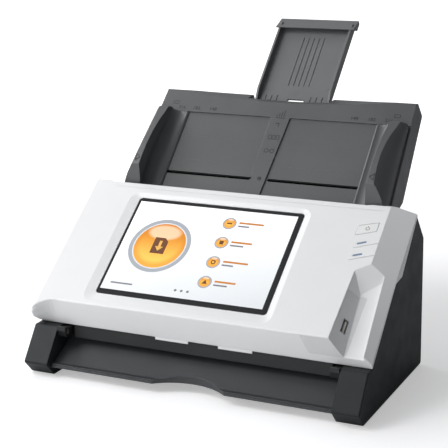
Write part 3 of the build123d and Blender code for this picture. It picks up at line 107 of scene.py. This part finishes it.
def ranged(tree, value, start, end, low=0.0, high=1.0, smooth=False):
    """Maps a value between start and end onto low to high, held at both ends."""
    made = add(tree, "ShaderNodeMapRange", Value=value)
    for name, number in (("From Min", start), ("From Max", end), ("To Min", low), ("To Max", high)):
        made.inputs[name].default_value = number
    if smooth:
        made.interpolation_type = "SMOOTHSTEP"
    return made.outputs["Result"]


def spread(tree, value, low, high):
    """Maps a noise value of about 0.3 to 0.7 onto low to high."""
    return ranged(tree, value, 0.3, 0.7, low, high)


def mix(tree, factor, first, second):
    """Colour between two colours or sockets."""
    made = tree.nodes.new("ShaderNodeMix")
    made.data_type = "RGBA"
    for index, value in ((0, factor), (6, first), (7, second)):
        socket = made.inputs[index]
        if isinstance(value, bpy.types.NodeSocket):
            tree.links.new(value, socket)
        elif index == 0:
            socket.default_value = value
        else:
            socket.default_value = (*value, 1.0) if len(value) == 3 else value
    return made.outputs[2]


def tone(colour, share):
    """Darker or lighter form of a colour."""
    return tuple(min(1.0, channel * share) for channel in colour)


def new_material(name):
    """Material with one shader, and its coordinates in metres."""
    material = bpy.data.materials.new(name)
    material.use_nodes = True
    tree = material.node_tree
    tree.nodes.clear()
    output = tree.nodes.new("ShaderNodeOutputMaterial")
    shader = tree.nodes.new("ShaderNodeBsdfPrincipled")
    tree.links.new(shader.outputs[0], output.inputs[0])
    coords = tree.nodes.new("ShaderNodeTexCoord").outputs["Object"]
    return material, tree, shader, coords


def surface(name, colour, rough=0.45, grain=0.0006, depth=0.0, edge=1.25, edge_size=0.0006, drift=0.06,
            metallic=0.0, coat=0.0, speck=0.05, stretch=None, specular=0.5):
    """Moulded or ground surface.

    grain and depth are the size and height of the fine bumps, edge and edge_size the brightness and width of
    the lighter edges, a painted highlight together with wear, drift the slow change of colour, speck the
    strength of the fine dark grains.
    """
    material, tree, shader, coords = new_material(name)
    fine_coords = coords
    if stretch:
        mapped = add(tree, "ShaderNodeMapping", Vector=coords)
        mapped.inputs["Scale"].default_value = stretch
        fine_coords = mapped.outputs[0]
    slow = noise(tree, coords, 14.0)
    fine = noise(tree, fine_coords, 1.0 / grain, 2.0)
    smudge = noise(tree, coords, 55.0, 4.0)
    base = mix(tree, spread(tree, slow, 0.0, 1.0), tone(colour, 1 - drift), tone(colour, 1 + drift))
    base = mix(tree, spread(tree, fine, 0.0, speck), base, tone(colour, 0.55))
    # Edges are painted lighter where the rounded normal leaves the true one: a painted highlight together
    # with wear
    bevel = add(tree, "ShaderNodeBevel", Radius=edge_size)
    bevel.samples = 4
    geometry = tree.nodes.new("ShaderNodeNewGeometry")
    dot = tree.nodes.new("ShaderNodeVectorMath")
    dot.operation = "DOT_PRODUCT"
    tree.links.new(bevel.outputs[0], dot.inputs[0])
    tree.links.new(geometry.outputs["Normal"], dot.inputs[1])
    edge_highlight_and_wear = maths(tree, "MULTIPLY", maths(tree, "SUBTRACT", 1.0, dot.outputs["Value"]), 3.0)
    edge_highlight_and_wear = maths(tree, "MINIMUM", maths(tree, "MAXIMUM", edge_highlight_and_wear, 0.0), 1.0)
    edge_highlight_and_wear = maths(tree, "MULTIPLY", edge_highlight_and_wear, spread(tree, smudge, 0.35, 1.0))
    # Painted edge highlight and wear: the edge colour is lightened by the edge factor
    base = mix(tree, edge_highlight_and_wear, base, tone(colour, edge))
    tree.links.new(base, shader.inputs["Base Color"])
    smudged = spread(tree, smudge, rough - 0.05, rough + 0.05)
    polished = maths(tree, "MULTIPLY", edge_highlight_and_wear, -0.06)
    tree.links.new(maths(tree, "ADD", smudged, polished), shader.inputs["Roughness"])
    normal = bevel.outputs[0]
    if depth:
        bump = add(tree, "ShaderNodeBump", Height=fine, Normal=normal, Strength=1.0, Distance=depth)
        normal = bump.outputs[0]
    tree.links.new(normal, shader.inputs["Normal"])
    for name, value in (("Metallic", metallic), ("Coat Weight", coat), ("Coat Roughness", 0.12),
                        ("Specular IOR Level", specular)):
        shader.inputs[name].default_value = value
    return material


white = surface("white_shell", (0.86, 0.865, 0.87), rough=0.34, grain=0.0004, depth=0.000004, edge=1.08,
                edge_size=0.0008, drift=0.012, speck=0.02)
# Darker copy of the white shell for the socket corner in its recess: painted shade
white_painted_shade = surface("white_shell_painted_shade", (0.74, 0.745, 0.75), rough=0.36, grain=0.0004, depth=0.000004, edge=1.12,
                     drift=0.015, speck=0.02)
side_dark = surface("side_shell", (0.018, 0.021, 0.023), rough=0.5, grain=0.0005, depth=0.00002, edge=2.4,
                    edge_size=0.0008, drift=0.05, specular=0.25)
foot_dark = surface("plate_shell", (0.045, 0.048, 0.052), rough=0.38, grain=0.0005, depth=0.00001, edge=2.0,
                    drift=0.05)
tray_dark = surface("tray_grain", (0.095, 0.098, 0.100), rough=0.46, grain=0.0007, depth=0.00004, edge=1.9,
                    edge_size=0.0007, drift=0.1, speck=0.25)
guide_dark = surface("guide_grain", (0.100, 0.103, 0.106), rough=0.40, depth=0.00001, edge=1.9,
                     edge_size=0.0007, drift=0.08)
lift_grey = surface("extension_grain", (0.16, 0.163, 0.166), rough=0.42, depth=0.00002, edge=1.4,
                    edge_size=0.0005, drift=0.05)
inner_black = surface("inner_grain", (0.012, 0.013, 0.014), rough=0.5, depth=0.00002, edge=2.2,
                      edge_size=0.0005, drift=0.15)
nylon = surface("nylon", (0.78, 0.76, 0.70), rough=0.4, grain=0.0005, depth=0.00001, edge=1.1,
                edge_size=0.0003, drift=0.03)
steel = surface("ground_steel", (0.60, 0.60, 0.61), rough=0.28, grain=0.0003, depth=0.000006, edge=1.2,
                edge_size=0.0002, drift=0.05, metallic=1.0, stretch=(0.05, 1.0, 1.0))
sheet_metal = surface("sheet_metal", (0.45, 0.46, 0.47), rough=0.4, grain=0.0004, depth=0.00001, edge=1.2,
                      edge_size=0.0003, drift=0.08, metallic=1.0)
brass = surface("sintered_brass", (0.72, 0.53, 0.25), rough=0.38, grain=0.0004, depth=0.00001, edge=1.2,
                edge_size=0.0003, drift=0.08, metallic=1.0)
rubber = surface("pad_rubber", (0.018, 0.018, 0.019), rough=0.7, grain=0.0005, depth=0.00003, edge=1.8,
                 edge_size=0.0005, drift=0.1)
tyre = surface("roller_rubber", (0.06, 0.06, 0.065), rough=0.65, grain=0.0004, depth=0.00003, edge=1.5,
               edge_size=0.0003, drift=0.1, stretch=(0.2, 1.0, 1.0))
board = surface("solder_mask", (0.015, 0.10, 0.04), rough=0.32, grain=0.0008, depth=0.00001, edge=1.5,
                edge_size=0.0002, drift=0.12)
lens = surface("indicator_lens", (0.20, 0.29, 0.42), rough=0.2, grain=0.0008, edge=1.3, edge_size=0.0002,
               drift=0.04, coat=0.5)
screw_metal = surface("screw_metal", (0.10, 0.10, 0.105), rough=0.3, grain=0.0003, depth=0.000006, edge=2.0,
                      edge_size=0.0001, drift=0.05, metallic=1.0)


def glow(tree, shader, base, strength):
    """Gives the shader its colour, and lights it in the same colour."""
    tree.links.new(base, shader.inputs["Base Color"])
    if strength:
        tree.links.new(base, shader.inputs["Emission Color"])
        shader.inputs["Emission Strength"].default_value = strength


def glass_material():
    """Slightly smudged clear glass."""
    material, tree, shader, coords = new_material("strip_glass")
    smudge = noise(tree, coords, 90.0, 3.0)
    tree.links.new(mix(tree, spread(tree, smudge, 0, 1), (0.80, 0.86, 0.86), (0.88, 0.92, 0.92)),
                   shader.inputs["Base Color"])
    tree.links.new(spread(tree, smudge, 0.03, 0.09), shader.inputs["Roughness"])
    shader.inputs["Alpha"].default_value = 0.35
    return material


def screen_material():
    """Lit screen: pale picture area with a soft gradient, black border outside it, under a glossy front."""
    material, tree, shader, coords = new_material("screen_front")
    split = add(tree, "ShaderNodeSeparateXYZ", Vector=coords)
    along = maths(tree, "MULTIPLY", split.outputs["X"], 1000.0)
    height = maths(tree, "MULTIPLY", split.outputs["Z"], 1000.0)
    up = maths(tree, "DIVIDE", maths(tree, "SUBTRACT", height, FACE_FOOT[1]), sin(FACE_TILT))
    inside = 1.0
    for value, (low, high) in ((along, PICTURE_ACROSS), (up, PICTURE_UP)):
        above = maths(tree, "GREATER_THAN", value, low)
        below = maths(tree, "LESS_THAN", value, high)
        inside = maths(tree, "MULTIPLY", inside, maths(tree, "MULTIPLY", above, below))
    lit_side = maths(tree, "SUBTRACT", up, maths(tree, "MULTIPLY", along, 0.25))
    shade = mix(tree, ranged(tree, lit_side, 10.0, 125.0), (0.66, 0.68, 0.70), (0.95, 0.95, 0.96))
    grain = spread(tree, noise(tree, coords, 2200.0, 1.0), 0.0, 0.03)
    shade = mix(tree, grain, shade, (0.5, 0.52, 0.55))
    base = mix(tree, inside, (0.008, 0.008, 0.009), shade)
    glow(tree, shader, base, 0.38)
    tree.links.new(spread(tree, noise(tree, coords, 60.0, 3.0), 0.07, 0.14), shader.inputs["Roughness"])
    shader.inputs["Coat Weight"].default_value = 0.3
    shader.inputs["Coat Roughness"].default_value = 0.03
    return material


def paint(name, colour, rough=0.35, shine=0.0, vary=0.05):
    """Printed or displayed colour with a faint mottled tone."""
    material, tree, shader, coords = new_material(name)
    mottle = spread(tree, noise(tree, coords, 900.0, 2.0), 0, 1)
    base = mix(tree, mottle, tone(colour, 1 - vary), tone(colour, 1 + vary))
    glow(tree, shader, base, shine)
    tree.links.new(spread(tree, noise(tree, coords, 300.0, 2.0), rough - 0.04, rough + 0.04),
                   shader.inputs["Roughness"])
    return material


def orb_material(name, centre, radius, dark, light, glint):
    """Glossy round button on the screen: bright lower bowl, darker top, and a pale crescent glint."""
    material, tree, shader, coords = new_material(name)
    offset = tree.nodes.new("ShaderNodeVectorMath")
    offset.operation = "SUBTRACT"
    tree.links.new(coords, offset.inputs[0])
    offset.inputs[1].default_value = centre
    split = add(tree, "ShaderNodeSeparateXYZ", Vector=offset.outputs[0])
    across = maths(tree, "DIVIDE", split.outputs["X"], radius)
    up = maths(tree, "DIVIDE", split.outputs["Z"], radius * sin(FACE_TILT))
    base = mix(tree, ranged(tree, up, -1.0, 0.75, smooth=True), light, dark)
    squares = maths(tree, "ADD", maths(tree, "POWER", across, 2.0), maths(tree, "POWER", up, 2.0))
    rim = ranged(tree, maths(tree, "SQRT", squares, 0), 0.72, 1.0, smooth=True)
    base = mix(tree, maths(tree, "MULTIPLY", rim, 0.55), base, dark)
    top = maths(tree, "DIVIDE", maths(tree, "SUBTRACT", up, 0.52), 0.36)
    side = maths(tree, "DIVIDE", across, 0.72)
    cap = maths(tree, "ADD", maths(tree, "POWER", top, 2.0), maths(tree, "POWER", side, 2.0))
    base = mix(tree, maths(tree, "MULTIPLY", ranged(tree, cap, 1.0, 0.55), 0.45), base, glint)
    glow(tree, shader, base, 0.45)
    tree.links.new(spread(tree, noise(tree, coords, 400.0, 2.0), 0.10, 0.18), shader.inputs["Roughness"])
    return material


PICTURE_ACROSS = (-100.6, 57.7)
PICTURE_UP = (17.8, 119.4)
screen_front = screen_material()
strip_glass = glass_material()

NODE_LOOKS = {
    white: ["front_cover", "power_button"],
    white_painted_shade: ["socket_corner"],
    side_dark: ["side_housing_left", "side_housing_right", "rear_cover", "base_plate"],
    foot_dark: ["output_plate"],
    tray_dark: ["tray_shell"],
    guide_dark: ["left_guide", "right_guide"],
    lift_grey: ["tray_extension"],
    inner_black: ["tray_back_plate", "inner_frame", "cover_inner_plate", "hinge_arms", "lower_guide",
                  "lower_scan_bar", "upper_scan_bar", "pad_holder", "sensor_lever", "power_jack"],
    nylon: ["usb_tongue", "feed_gear", "feed_idler_gear", "drive_gear", "exit_idler_gear", "exit_gear",
            "rack_pinion", "drive_pinch_rollers", "exit_pinch_rollers"],
    steel: ["feed_shaft", "drive_shaft", "exit_shaft", "drive_pinch_axle", "exit_pinch_axle", "holder_pin",
            "hinge_pins", "stepper_motor"],
    sheet_metal: ["usb_shell", "data_sockets", "display_panel"],
    brass: ["motor_pinion", "roller_bushes"],
    rubber: ["rubber_feet"],
    tyre: ["feed_tyres", "drive_tyres", "exit_tyres", "separation_pad"],
    board: ["main_board", "driver_board", "button_board"],
    lens: ["indicator_windows"],
    strip_glass: ["lower_scan_glass", "upper_scan_glass"],
    screen_front: ["display_glass"],
}
for look, names in NODE_LOOKS.items():
    for name in names:
        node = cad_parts[name]
        node.data.materials.clear()
        node.data.materials.append(look)
bare = [name for name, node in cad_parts.items() if not node.data.materials]
assert not bare, bare


def piece(name, faces_of, material, body):
    """Mesh piece from a function that fills a bmesh, riding on a body."""
    mesh = bpy.data.meshes.new(name)
    build = bmesh.new()
    faces_of(build)
    bmesh.ops.remove_doubles(build, verts=build.verts, dist=1e-7)
    bmesh.ops.recalc_face_normals(build, faces=build.faces)
    build.to_mesh(mesh)
    build.free()
    made = bpy.data.objects.new(name, mesh)
    scene.collection.objects.link(made)
    made.data.materials.append(material)
    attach(made, body)
    return made


def slab(build, outline, place, lift, thick):
    """Thin closed plate over an outline of plane points, laid by one of the plane functions."""
    top = [build.verts.new(place(x, s, lift + thick)) for x, s in outline]
    low = [build.verts.new(place(x, s, lift)) for x, s in outline]
    build.faces.new(top)
    build.faces.new(list(reversed(low)))
    count = len(outline)
    for index in range(count):
        after = (index + 1) % count
        build.faces.new((top[index], low[index], low[after], top[after]))


def disc(x, s, radius, count=48):
    """Points round a circle."""
    turns = [2 * pi * step / count for step in range(count)]
    return [(x + radius * cos(turn), s + radius * sin(turn)) for turn in turns]


def ring(build, x, s, outer, inner, place, lift, thick, count=64):
    """Flat closed ring between two radii."""
    loops = []
    for radius, height in ((outer, lift + thick), (inner, lift + thick), (inner, lift), (outer, lift)):
        loops.append([build.verts.new(place(a, b, height)) for a, b in disc(x, s, radius, count)])
    for first, second in zip(loops, loops[1:] + loops[:1]):
        for i in range(count):
            j = (i + 1) % count
            build.faces.new((first[i], second[i], second[j], first[j]))


def bar(x, s, wide, tall, round_by=0.3):
    """Rounded rectangle centred on x, s."""
    points = []
    for cx, cs, start in ((1, 1, 0), (-1, 1, 90), (-1, -1, 180), (1, -1, 270)):
        for step in range(5):
            turn = radians(start + step * 22.5)
            points.append((x + cx * (wide / 2 - round_by) + round_by * cos(turn),
                           s + cs * (tall / 2 - round_by) + round_by * sin(turn)))
    return points


def stroke(build, first, second, half_line, lift, thick, place):
    """Thin straight line between two points of a plane."""
    run = Vector((second[0] - first[0], second[1] - first[1]))
    side = Vector((-run.y, run.x)).normalized() * half_line
    slab(build, [(first[0] - side.x, first[1] - side.y), (second[0] - side.x, second[1] - side.y),
                 (second[0] + side.x, second[1] + side.y), (first[0] + side.x, first[1] + side.y)],
         place, lift, thick)


# Screen picture: one large round button on the left, four small ones in an upright column, bars for words
ORB = (-62.0, 73.0)
ORB_RADIUS = 25.0
DOT_RADIUS = 5.2
COLUMN_X = -4.0
ROWS = (106.0, 84.0, 62.0, 40.0)
FOOT_ROW = 27.5
SCREEN_TOP = SCREEN_LIFT + 0.02
PRINT = 0.02
ORANGE = {"dark": (0.60, 0.20, 0.012), "light": (0.93, 0.52, 0.10), "glint": (1.0, 0.90, 0.70)}
ring_grey = paint("picture_ring", (0.42, 0.45, 0.49), 0.2, 0.12)
ring_pale = paint("picture_pale", (0.80, 0.82, 0.84), 0.2, 0.12)
word_grey = paint("picture_grey", (0.20, 0.21, 0.23), 0.3, 0.1)
word_orange = paint("picture_orange", (0.62, 0.22, 0.02), 0.3, 0.12)
motif_dark = paint("picture_dark", (0.16, 0.05, 0.01), 0.3, 0.1)
arrow_orange = paint("picture_arrow", (0.90, 0.50, 0.12), 0.2, 0.12)


def screen_piece(name, fill, material):
    """Piece of the picture, riding on the cover."""
    return piece(name, fill, material, "cover")


def screen_ring(name, x, s, outer, inner, material):
    """Flat ring of the picture."""
    screen_piece(name, lambda build: ring(build, x, s, outer, inner, on_face, SCREEN_TOP, PRINT), material)


def screen_shape(name, outlines, material, layer=0):
    """Flat shapes of the picture, in one of its printed layers."""
    def fill(build):
        for outline in outlines:
            slab(build, outline, on_face, SCREEN_TOP + layer * PRINT, PRINT)
    screen_piece(name, fill, material)


screen_ring("picture_ring_outer", *ORB, ORB_RADIUS + 5.0, ORB_RADIUS + 1.2, ring_grey)
screen_ring("picture_ring_inner", *ORB, ORB_RADIUS + 1.2, ORB_RADIUS, ring_pale)
orb_look = orb_material("picture_orb", on_face(*ORB), ORB_RADIUS * MM, **ORANGE)
screen_shape("picture_orb", [disc(*ORB, ORB_RADIUS)], orb_look)

# Upright sheet with a folded corner, and an arrow on it that points down
page = [(-7, -9), (7, -9), (7, 5), (3, 9), (-7, 9)]
screen_shape("picture_page", [[(ORB[0] + x, ORB[1] + s) for x, s in page]], motif_dark, layer=1)
arrow = [(-1.4, 5.5), (1.4, 5.5), (1.4, -1.0), (4.2, -1.0), (0, -6.0), (-4.2, -1.0), (-1.4, -1.0)]
screen_shape("picture_arrow", [[(ORB[0] + x, ORB[1] + s) for x, s in reversed(arrow)]], arrow_orange, layer=2)

for index, s in enumerate(ROWS, 1):
    longer = index % 2
    look = orb_material(f"picture_dot_{index}", on_face(COLUMN_X, s), 5.0 * MM, **ORANGE)
    screen_ring(f"picture_dot_ring_{index}", COLUMN_X, s, DOT_RADIUS + 1.4, DOT_RADIUS, ring_grey)
    screen_shape(f"picture_dot_{index}", [disc(COLUMN_X, s, DOT_RADIUS)], look)
    head = bar(15.0 + longer * 2, s + 1.8, 20.0 + longer * 4, 1.9)
    line = bar(11.5 - longer, s - 2.0, 13.0 - longer * 2, 1.6)
    screen_shape(f"picture_head_{index}", [head], word_orange)
    screen_shape(f"picture_line_{index}", [line], word_grey)


def dot_motifs(build):
    """One small plain sign on each dot: a bar, a square, a ring and a triangle."""
    lift = SCREEN_TOP + PRINT
    slab(build, bar(COLUMN_X, ROWS[0], 5.0, 1.6), on_face, lift, PRINT)
    slab(build, bar(COLUMN_X, ROWS[1], 4.0, 4.0), on_face, lift, PRINT)
    ring(build, COLUMN_X, ROWS[2], 2.4, 1.2, on_face, lift, PRINT, 24)
    slab(build, [(COLUMN_X - 2.6, ROWS[3] - 2.0), (COLUMN_X + 2.6, ROWS[3] - 2.0), (COLUMN_X, ROWS[3] + 2.6)],
         on_face, lift, PRINT)


screen_piece("picture_dot_signs", dot_motifs, motif_dark)
screen_shape("picture_foot_dots", [disc(x, FOOT_ROW, 1.3, 20) for x in (-28.0, -22.0, -16.0)], word_grey)
screen_shape("picture_foot_line", [bar(-82.0, FOOT_ROW, 22.0, 1.6)], word_grey)

# Marks on the tray: sheet widths, signs in the centre band, fold lines and guide arrows
MARK_LIFT = 0.01
MARK_THICK = 0.08
SIGN_LINE = 0.5
mark_look = surface("tray_marks", (0.020, 0.021, 0.023), depth=0.00001, edge=1.6, edge_size=0.0001,
                    drift=0.1)
line_look = surface("tray_lines", (0.115, 0.12, 0.125), rough=0.5, depth=0.00001, edge=1.3,
                    edge_size=0.0001, drift=0.1)
guide_mark = surface("guide_marks", (0.014, 0.015, 0.016), depth=0.00001, edge=1.3, edge_size=0.0001,
                     drift=0.1)
extension_mark = surface("extension_marks", (0.13, 0.133, 0.137), depth=0.00001, edge=1.3, edge_size=0.0001,
                         drift=0.1)


def number(name, words, x, s, size):
    """Small raised number on the tray's top band, read from the front."""
    curve = bpy.data.curves.new(name, "FONT")
    curve.body = words
    curve.size = size * MM
    curve.extrude = 0.05 * MM
    curve.align_x = "CENTER"
    made = bpy.data.objects.new(name, curve)
    scene.collection.objects.link(made)
    slope = Vector((0, cos(TRAY_TILT), sin(TRAY_TILT)))
    normal = Vector((0, -sin(TRAY_TILT), cos(TRAY_TILT)))
    turn = Matrix(((1, 0, 0), slope, normal)).transposed().to_4x4()
    made.matrix_world = Matrix.Translation(on_tray(x, s, 0.06)) @ turn
    curve.materials.append(mark_look)
    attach(made, "base")


SHEET_WIDTHS = (("216", -106.2), ("182", -90.3), ("148", -72.5), ("148", 73.7), ("182", 90.8), ("216", 107.5))
for index, (words, x) in enumerate(SHEET_WIDTHS, 1):
    number(f"tray_number_{index}", words, x, 22.6, 5.2)


def tray_piece(name, fill, material=mark_look, body="base"):
    """Mark on the tray or on what slides in it."""
    return piece(name, fill, material, body)


def frame_outline(build, x, s, wide, tall):
    """Rectangle drawn with four thin strokes."""
    upright = tall - SIGN_LINE
    for cx, cs, w, t in ((0, tall / 2, wide, SIGN_LINE), (0, -tall / 2, wide, SIGN_LINE),
                         (-wide / 2, 0, SIGN_LINE, upright), (wide / 2, 0, SIGN_LINE, upright)):
        left, right, low, high = x + cx - w / 2, x + cx + w / 2, s + cs - t / 2, s + cs + t / 2
        tray_mark(build, [(left, low), (right, low), (right, high), (left, high)])


def tray_mark(build, outline):
    """Flat shape on the tray."""
    slab(build, outline, on_tray, MARK_LIFT, MARK_THICK)


def band_signs(build):
    """Bars, a corner, three sheets and a pair of rings down the centre band, and a badge at each edge."""
    for step in range(4):
        tray_mark(build, bar(-3.6 + step * 2.4, 23.6 - step * 0.9, 0.7, 2.4 + step * 1.8, 0.3))
    tray_mark(build, bar(0.2, 26.0, 10.0, 0.6, 0.2))
    tray_mark(build, bar(-0.6, 32.4, 4.2, 0.7, 0.2))
    tray_mark(build, bar(1.2, 34.4, 0.7, 4.0, 0.2))
    for x in (-3.6, 0.4, 4.4):
        frame_outline(build, x, 48.7, 2.8, 4.6)
    for x in (-2.6, 3.2):
        ring(build, x, 64.1, 2.3, 1.7, on_tray, MARK_LIFT, MARK_THICK, 24)
    tray_mark(build, bar(0.3, 64.1, 2.0, 0.5, 0.2))
    for side in (-1, 1):
        frame_outline(build, side * 114.4, 15.4, 5.6, 3.2)


tray_piece("tray_signs", band_signs)


def centre_dot(build):
    """Small raised ring with a dot in it between the slots."""
    ring(build, 0, 95.6, 1.9, 1.2, on_tray, MARK_LIFT, 0.25, 32)
    slab(build, disc(0, 95.6, 0.7, 20), on_tray, MARK_LIFT, 0.1)


tray_piece("tray_dot", centre_dot)


def fold_lines(build):
    """Dashed lines across both sheet panels."""
    dash, step, half_line = 5.0, 6.6, 0.2
    for s in (53.0, 80.0):
        for start, end in ((-112.0, -12.0), (11.0, 112.0)):
            x = start
            while x < end:
                slab(build, [(x, s - half_line), (x + dash, s - half_line), (x + dash, s + half_line),
                             (x, s + half_line)], on_tray, PANEL_LIFT + MARK_LIFT, 0.06)
                x += step


tray_piece("tray_fold_lines", fold_lines, line_look)


def guide_arrows(build, x, side):
    """Small arrow head that stands out of the guide's flange and points at the sheet, closed by a bar."""
    back, tip = x + side * 1.8, (x - side * 2.2, 99.0)
    start, end = 95.6, 102.4
    for s in (start, end):
        stroke(build, (back, s), tip, 0.32, GUIDE_LIFT, 0.4, on_tray)
    stroke(build, (back, start), (back, end), 0.22, GUIDE_LIFT, 0.4, on_tray)


for name, side in (("left", -1), ("right", 1)):
    tray_piece(f"{name}_guide_arrow", lambda build, side=side: guide_arrows(build, side * 117.0, side),
               guide_mark, body=f"{name}_fence")


def ejector_rings(build):
    """Faint round marks that the mould leaves on the extension."""
    for x, s in ((-33.8, -18.4), (0.4, -14.5), (34.2, -20.1)):
        ring(build, x, s, 2.6, 2.2, on_tray, EXTENSION_LIFT + MARK_LIFT, MARK_THICK, 32)


tray_piece("extension_rings", ejector_rings, extension_mark, "extension")

# Power sign on the button: an open ring and an upright stroke
BUTTON = (124.6, 115.0)
SIGN_RADIUS = 1.7


def power_sign(build):
    """Open ring drawn with short strokes, and the stroke that stands in its gap."""
    turns = [radians(125 + step * 29) for step in range(11)]
    points = [(BUTTON[0] + SIGN_RADIUS * cos(turn), BUTTON[1] + SIGN_RADIUS * sin(turn)) for turn in turns]
    for first, second in zip(points, points[1:]):
        stroke(build, first, second, 0.22, BUTTON_LIFT, 0.04, on_face)
    slab(build, bar(BUTTON[0], BUTTON[1] + 1.6, 0.45, 2.2, 0.2), on_face, BUTTON_LIFT, 0.04)


piece("power_sign", power_sign, motif_dark, "button")

# Screws of the rear cover and of the base
HEAD_RADIUS = 2.6
HEAD_HEIGHT = 0.5
SLOT_LONG = 2.8
SLOT_WIDE = 0.6


def on_back(x, height, lift=0.0):
    """Point on the rear cover."""
    return row(x, BODY_BACK + lift, height)


def under_base(x, depth, lift=0.0):
    """Point on the underside of the base."""
    return row(x, depth, BASE_UNDER - lift)


def screws(name, place, spots):
    """Round heads at the given spots of a plane, each with a crossed slot drawn as flat black marks on top:
    painted shade in place of the slot's recess.
    """
    def heads(build):
        for x, s in spots:
            slab(build, disc(x, s, HEAD_RADIUS, 24), place, 0.0, HEAD_HEIGHT)

    # Crossed slot as thin black sheets on the head: painted shade where a cut slot would be dark
    def slot_shade(build):
        for x, s in spots:
            for wide, tall in ((SLOT_LONG, SLOT_WIDE), (SLOT_WIDE, SLOT_LONG)):
                slab(build, bar(x, s, wide, tall, 0.2), place, HEAD_HEIGHT, 0.04)

    piece(f"{name}_screws", heads, screw_metal, "base")
    piece(f"{name}_screw_slot_shade", slot_shade, inner_black, "base")


screws("back", on_back, [(x, height) for x in (-124.0, 124.0) for height in (12.0, 108.0)])
screws("base", under_base, [(x, depth) for x in (-96.0, 96.0) for depth in (40.0, 120.0)])

# Floor and light
def seen_by_camera(tree):
    """One for rays that the camera sends, also through glass, and zero for all others."""
    path = tree.nodes.new("ShaderNodeLightPath")
    return maths(tree, "MAXIMUM", path.outputs["Is Camera Ray"], path.outputs["Is Transmission Ray"])


def floor_material():
    """Pale matt floor that grows to plain white away from the object, where its shadow has ended."""
    material, tree, shader, coords = new_material("floor")
    mottle = spread(tree, noise(tree, coords, 3.0), 0, 1)
    tree.links.new(mix(tree, mottle, (0.80, 0.80, 0.81), (0.84, 0.84, 0.85)), shader.inputs["Base Color"])
    shader.inputs["Roughness"].default_value = 0.7
    reach = tree.nodes.new("ShaderNodeVectorMath")
    reach.operation = "LENGTH"
    tree.links.new(coords, reach.inputs[0])
    far = ranged(tree, reach.outputs["Value"], 0.25, 1.0, 0.40, 0.95)
    shader.inputs["Emission Color"].default_value = (1, 1, 1, 1)
    tree.links.new(maths(tree, "MULTIPLY", seen_by_camera(tree), far), shader.inputs["Emission Strength"])
    return material


floor_mesh = bpy.data.meshes.new("floor")
build = bmesh.new()
bmesh.ops.create_grid(build, x_segments=2, y_segments=2, size=6.0)
build.to_mesh(floor_mesh)
build.free()
floor = bpy.data.objects.new("floor", floor_mesh)
scene.collection.objects.link(floor)
floor.data.materials.append(floor_material())


def studio_world():
    """Room light, dimmer on the right to keep the dark side dark, and plain white where the camera looks."""
    world = bpy.data.worlds.new("studio")
    world.use_nodes = True
    tree = world.node_tree
    tree.nodes.clear()
    output = tree.nodes.new("ShaderNodeOutputWorld")
    direction = tree.nodes.new("ShaderNodeTexCoord").outputs["Generated"]
    around = add(tree, "ShaderNodeSeparateXYZ", Vector=direction)
    dim = ranged(tree, around.outputs["X"], -0.5, 0.4, 0.5, 0.14)
    room = add(tree, "ShaderNodeBackground", Color=(0.95, 0.97, 1.0, 1.0), Strength=dim)
    clear = add(tree, "ShaderNodeBackground", Color=(1.0, 1.0, 1.0, 1.0), Strength=1.0)
    blend = tree.nodes.new("ShaderNodeMixShader")
    for socket, value in zip(blend.inputs, (seen_by_camera(tree), room.outputs[0], clear.outputs[0])):
        tree.links.new(value, socket)
    tree.links.new(blend.outputs[0], output.inputs[0])
    return world


scene.world = studio_world()


def lamp(name, place, target, size, energy):
    """Rectangular soft light aimed at a point."""
    data = bpy.data.lights.new(name, "AREA")
    data.shape = "RECTANGLE"
    data.size, data.size_y = size
    data.energy = energy
    made = bpy.data.objects.new(name, data)
    scene.collection.objects.link(made)
    made.location = place
    made.rotation_euler = (Vector(target) - Vector(place)).to_track_quat("-Z", "Y").to_euler()


lamp("key", (-1.15, -0.85, 1.0), (0, 0, 0.1), (1.0, 1.0), 11)
lamp("top", (-0.75, -0.75, 1.35), (0, 0, 0.1), (0.6, 0.6), 6)
lamp("fill", (-0.3, -1.6, 0.35), (0, 0, 0.08), (0.8, 0.6), 3.5)
lamp("side", (-1.3, 0.5, 1.1), (0, 0.05, 0.2), (0.5, 0.9), 7)

# Camera at the photograph's angle, about 1.1 m away
CAMERA_PLACE = (0.488977, -0.930359 - HALF_DEPTH * MM, 0.436605)
CAMERA_RIGHT = Vector((0.90336, 0.42856, -0.01640))
CAMERA_UP = Vector((-0.09614, 0.23963, 0.96609))
CAMERA_FORWARD = Vector((-0.41796, 0.87115, -0.25768))
camera_data = bpy.data.cameras.new("camera")
camera_data.lens = 106.44
camera_data.sensor_width = 36.0
camera_data.clip_start = 0.01
camera = bpy.data.objects.new("camera", camera_data)
scene.collection.objects.link(camera)
scene.camera = camera
turn = Matrix((CAMERA_RIGHT, CAMERA_UP, -CAMERA_FORWARD)).transposed().to_4x4()
camera.matrix_world = Matrix.Translation(CAMERA_PLACE) @ turn
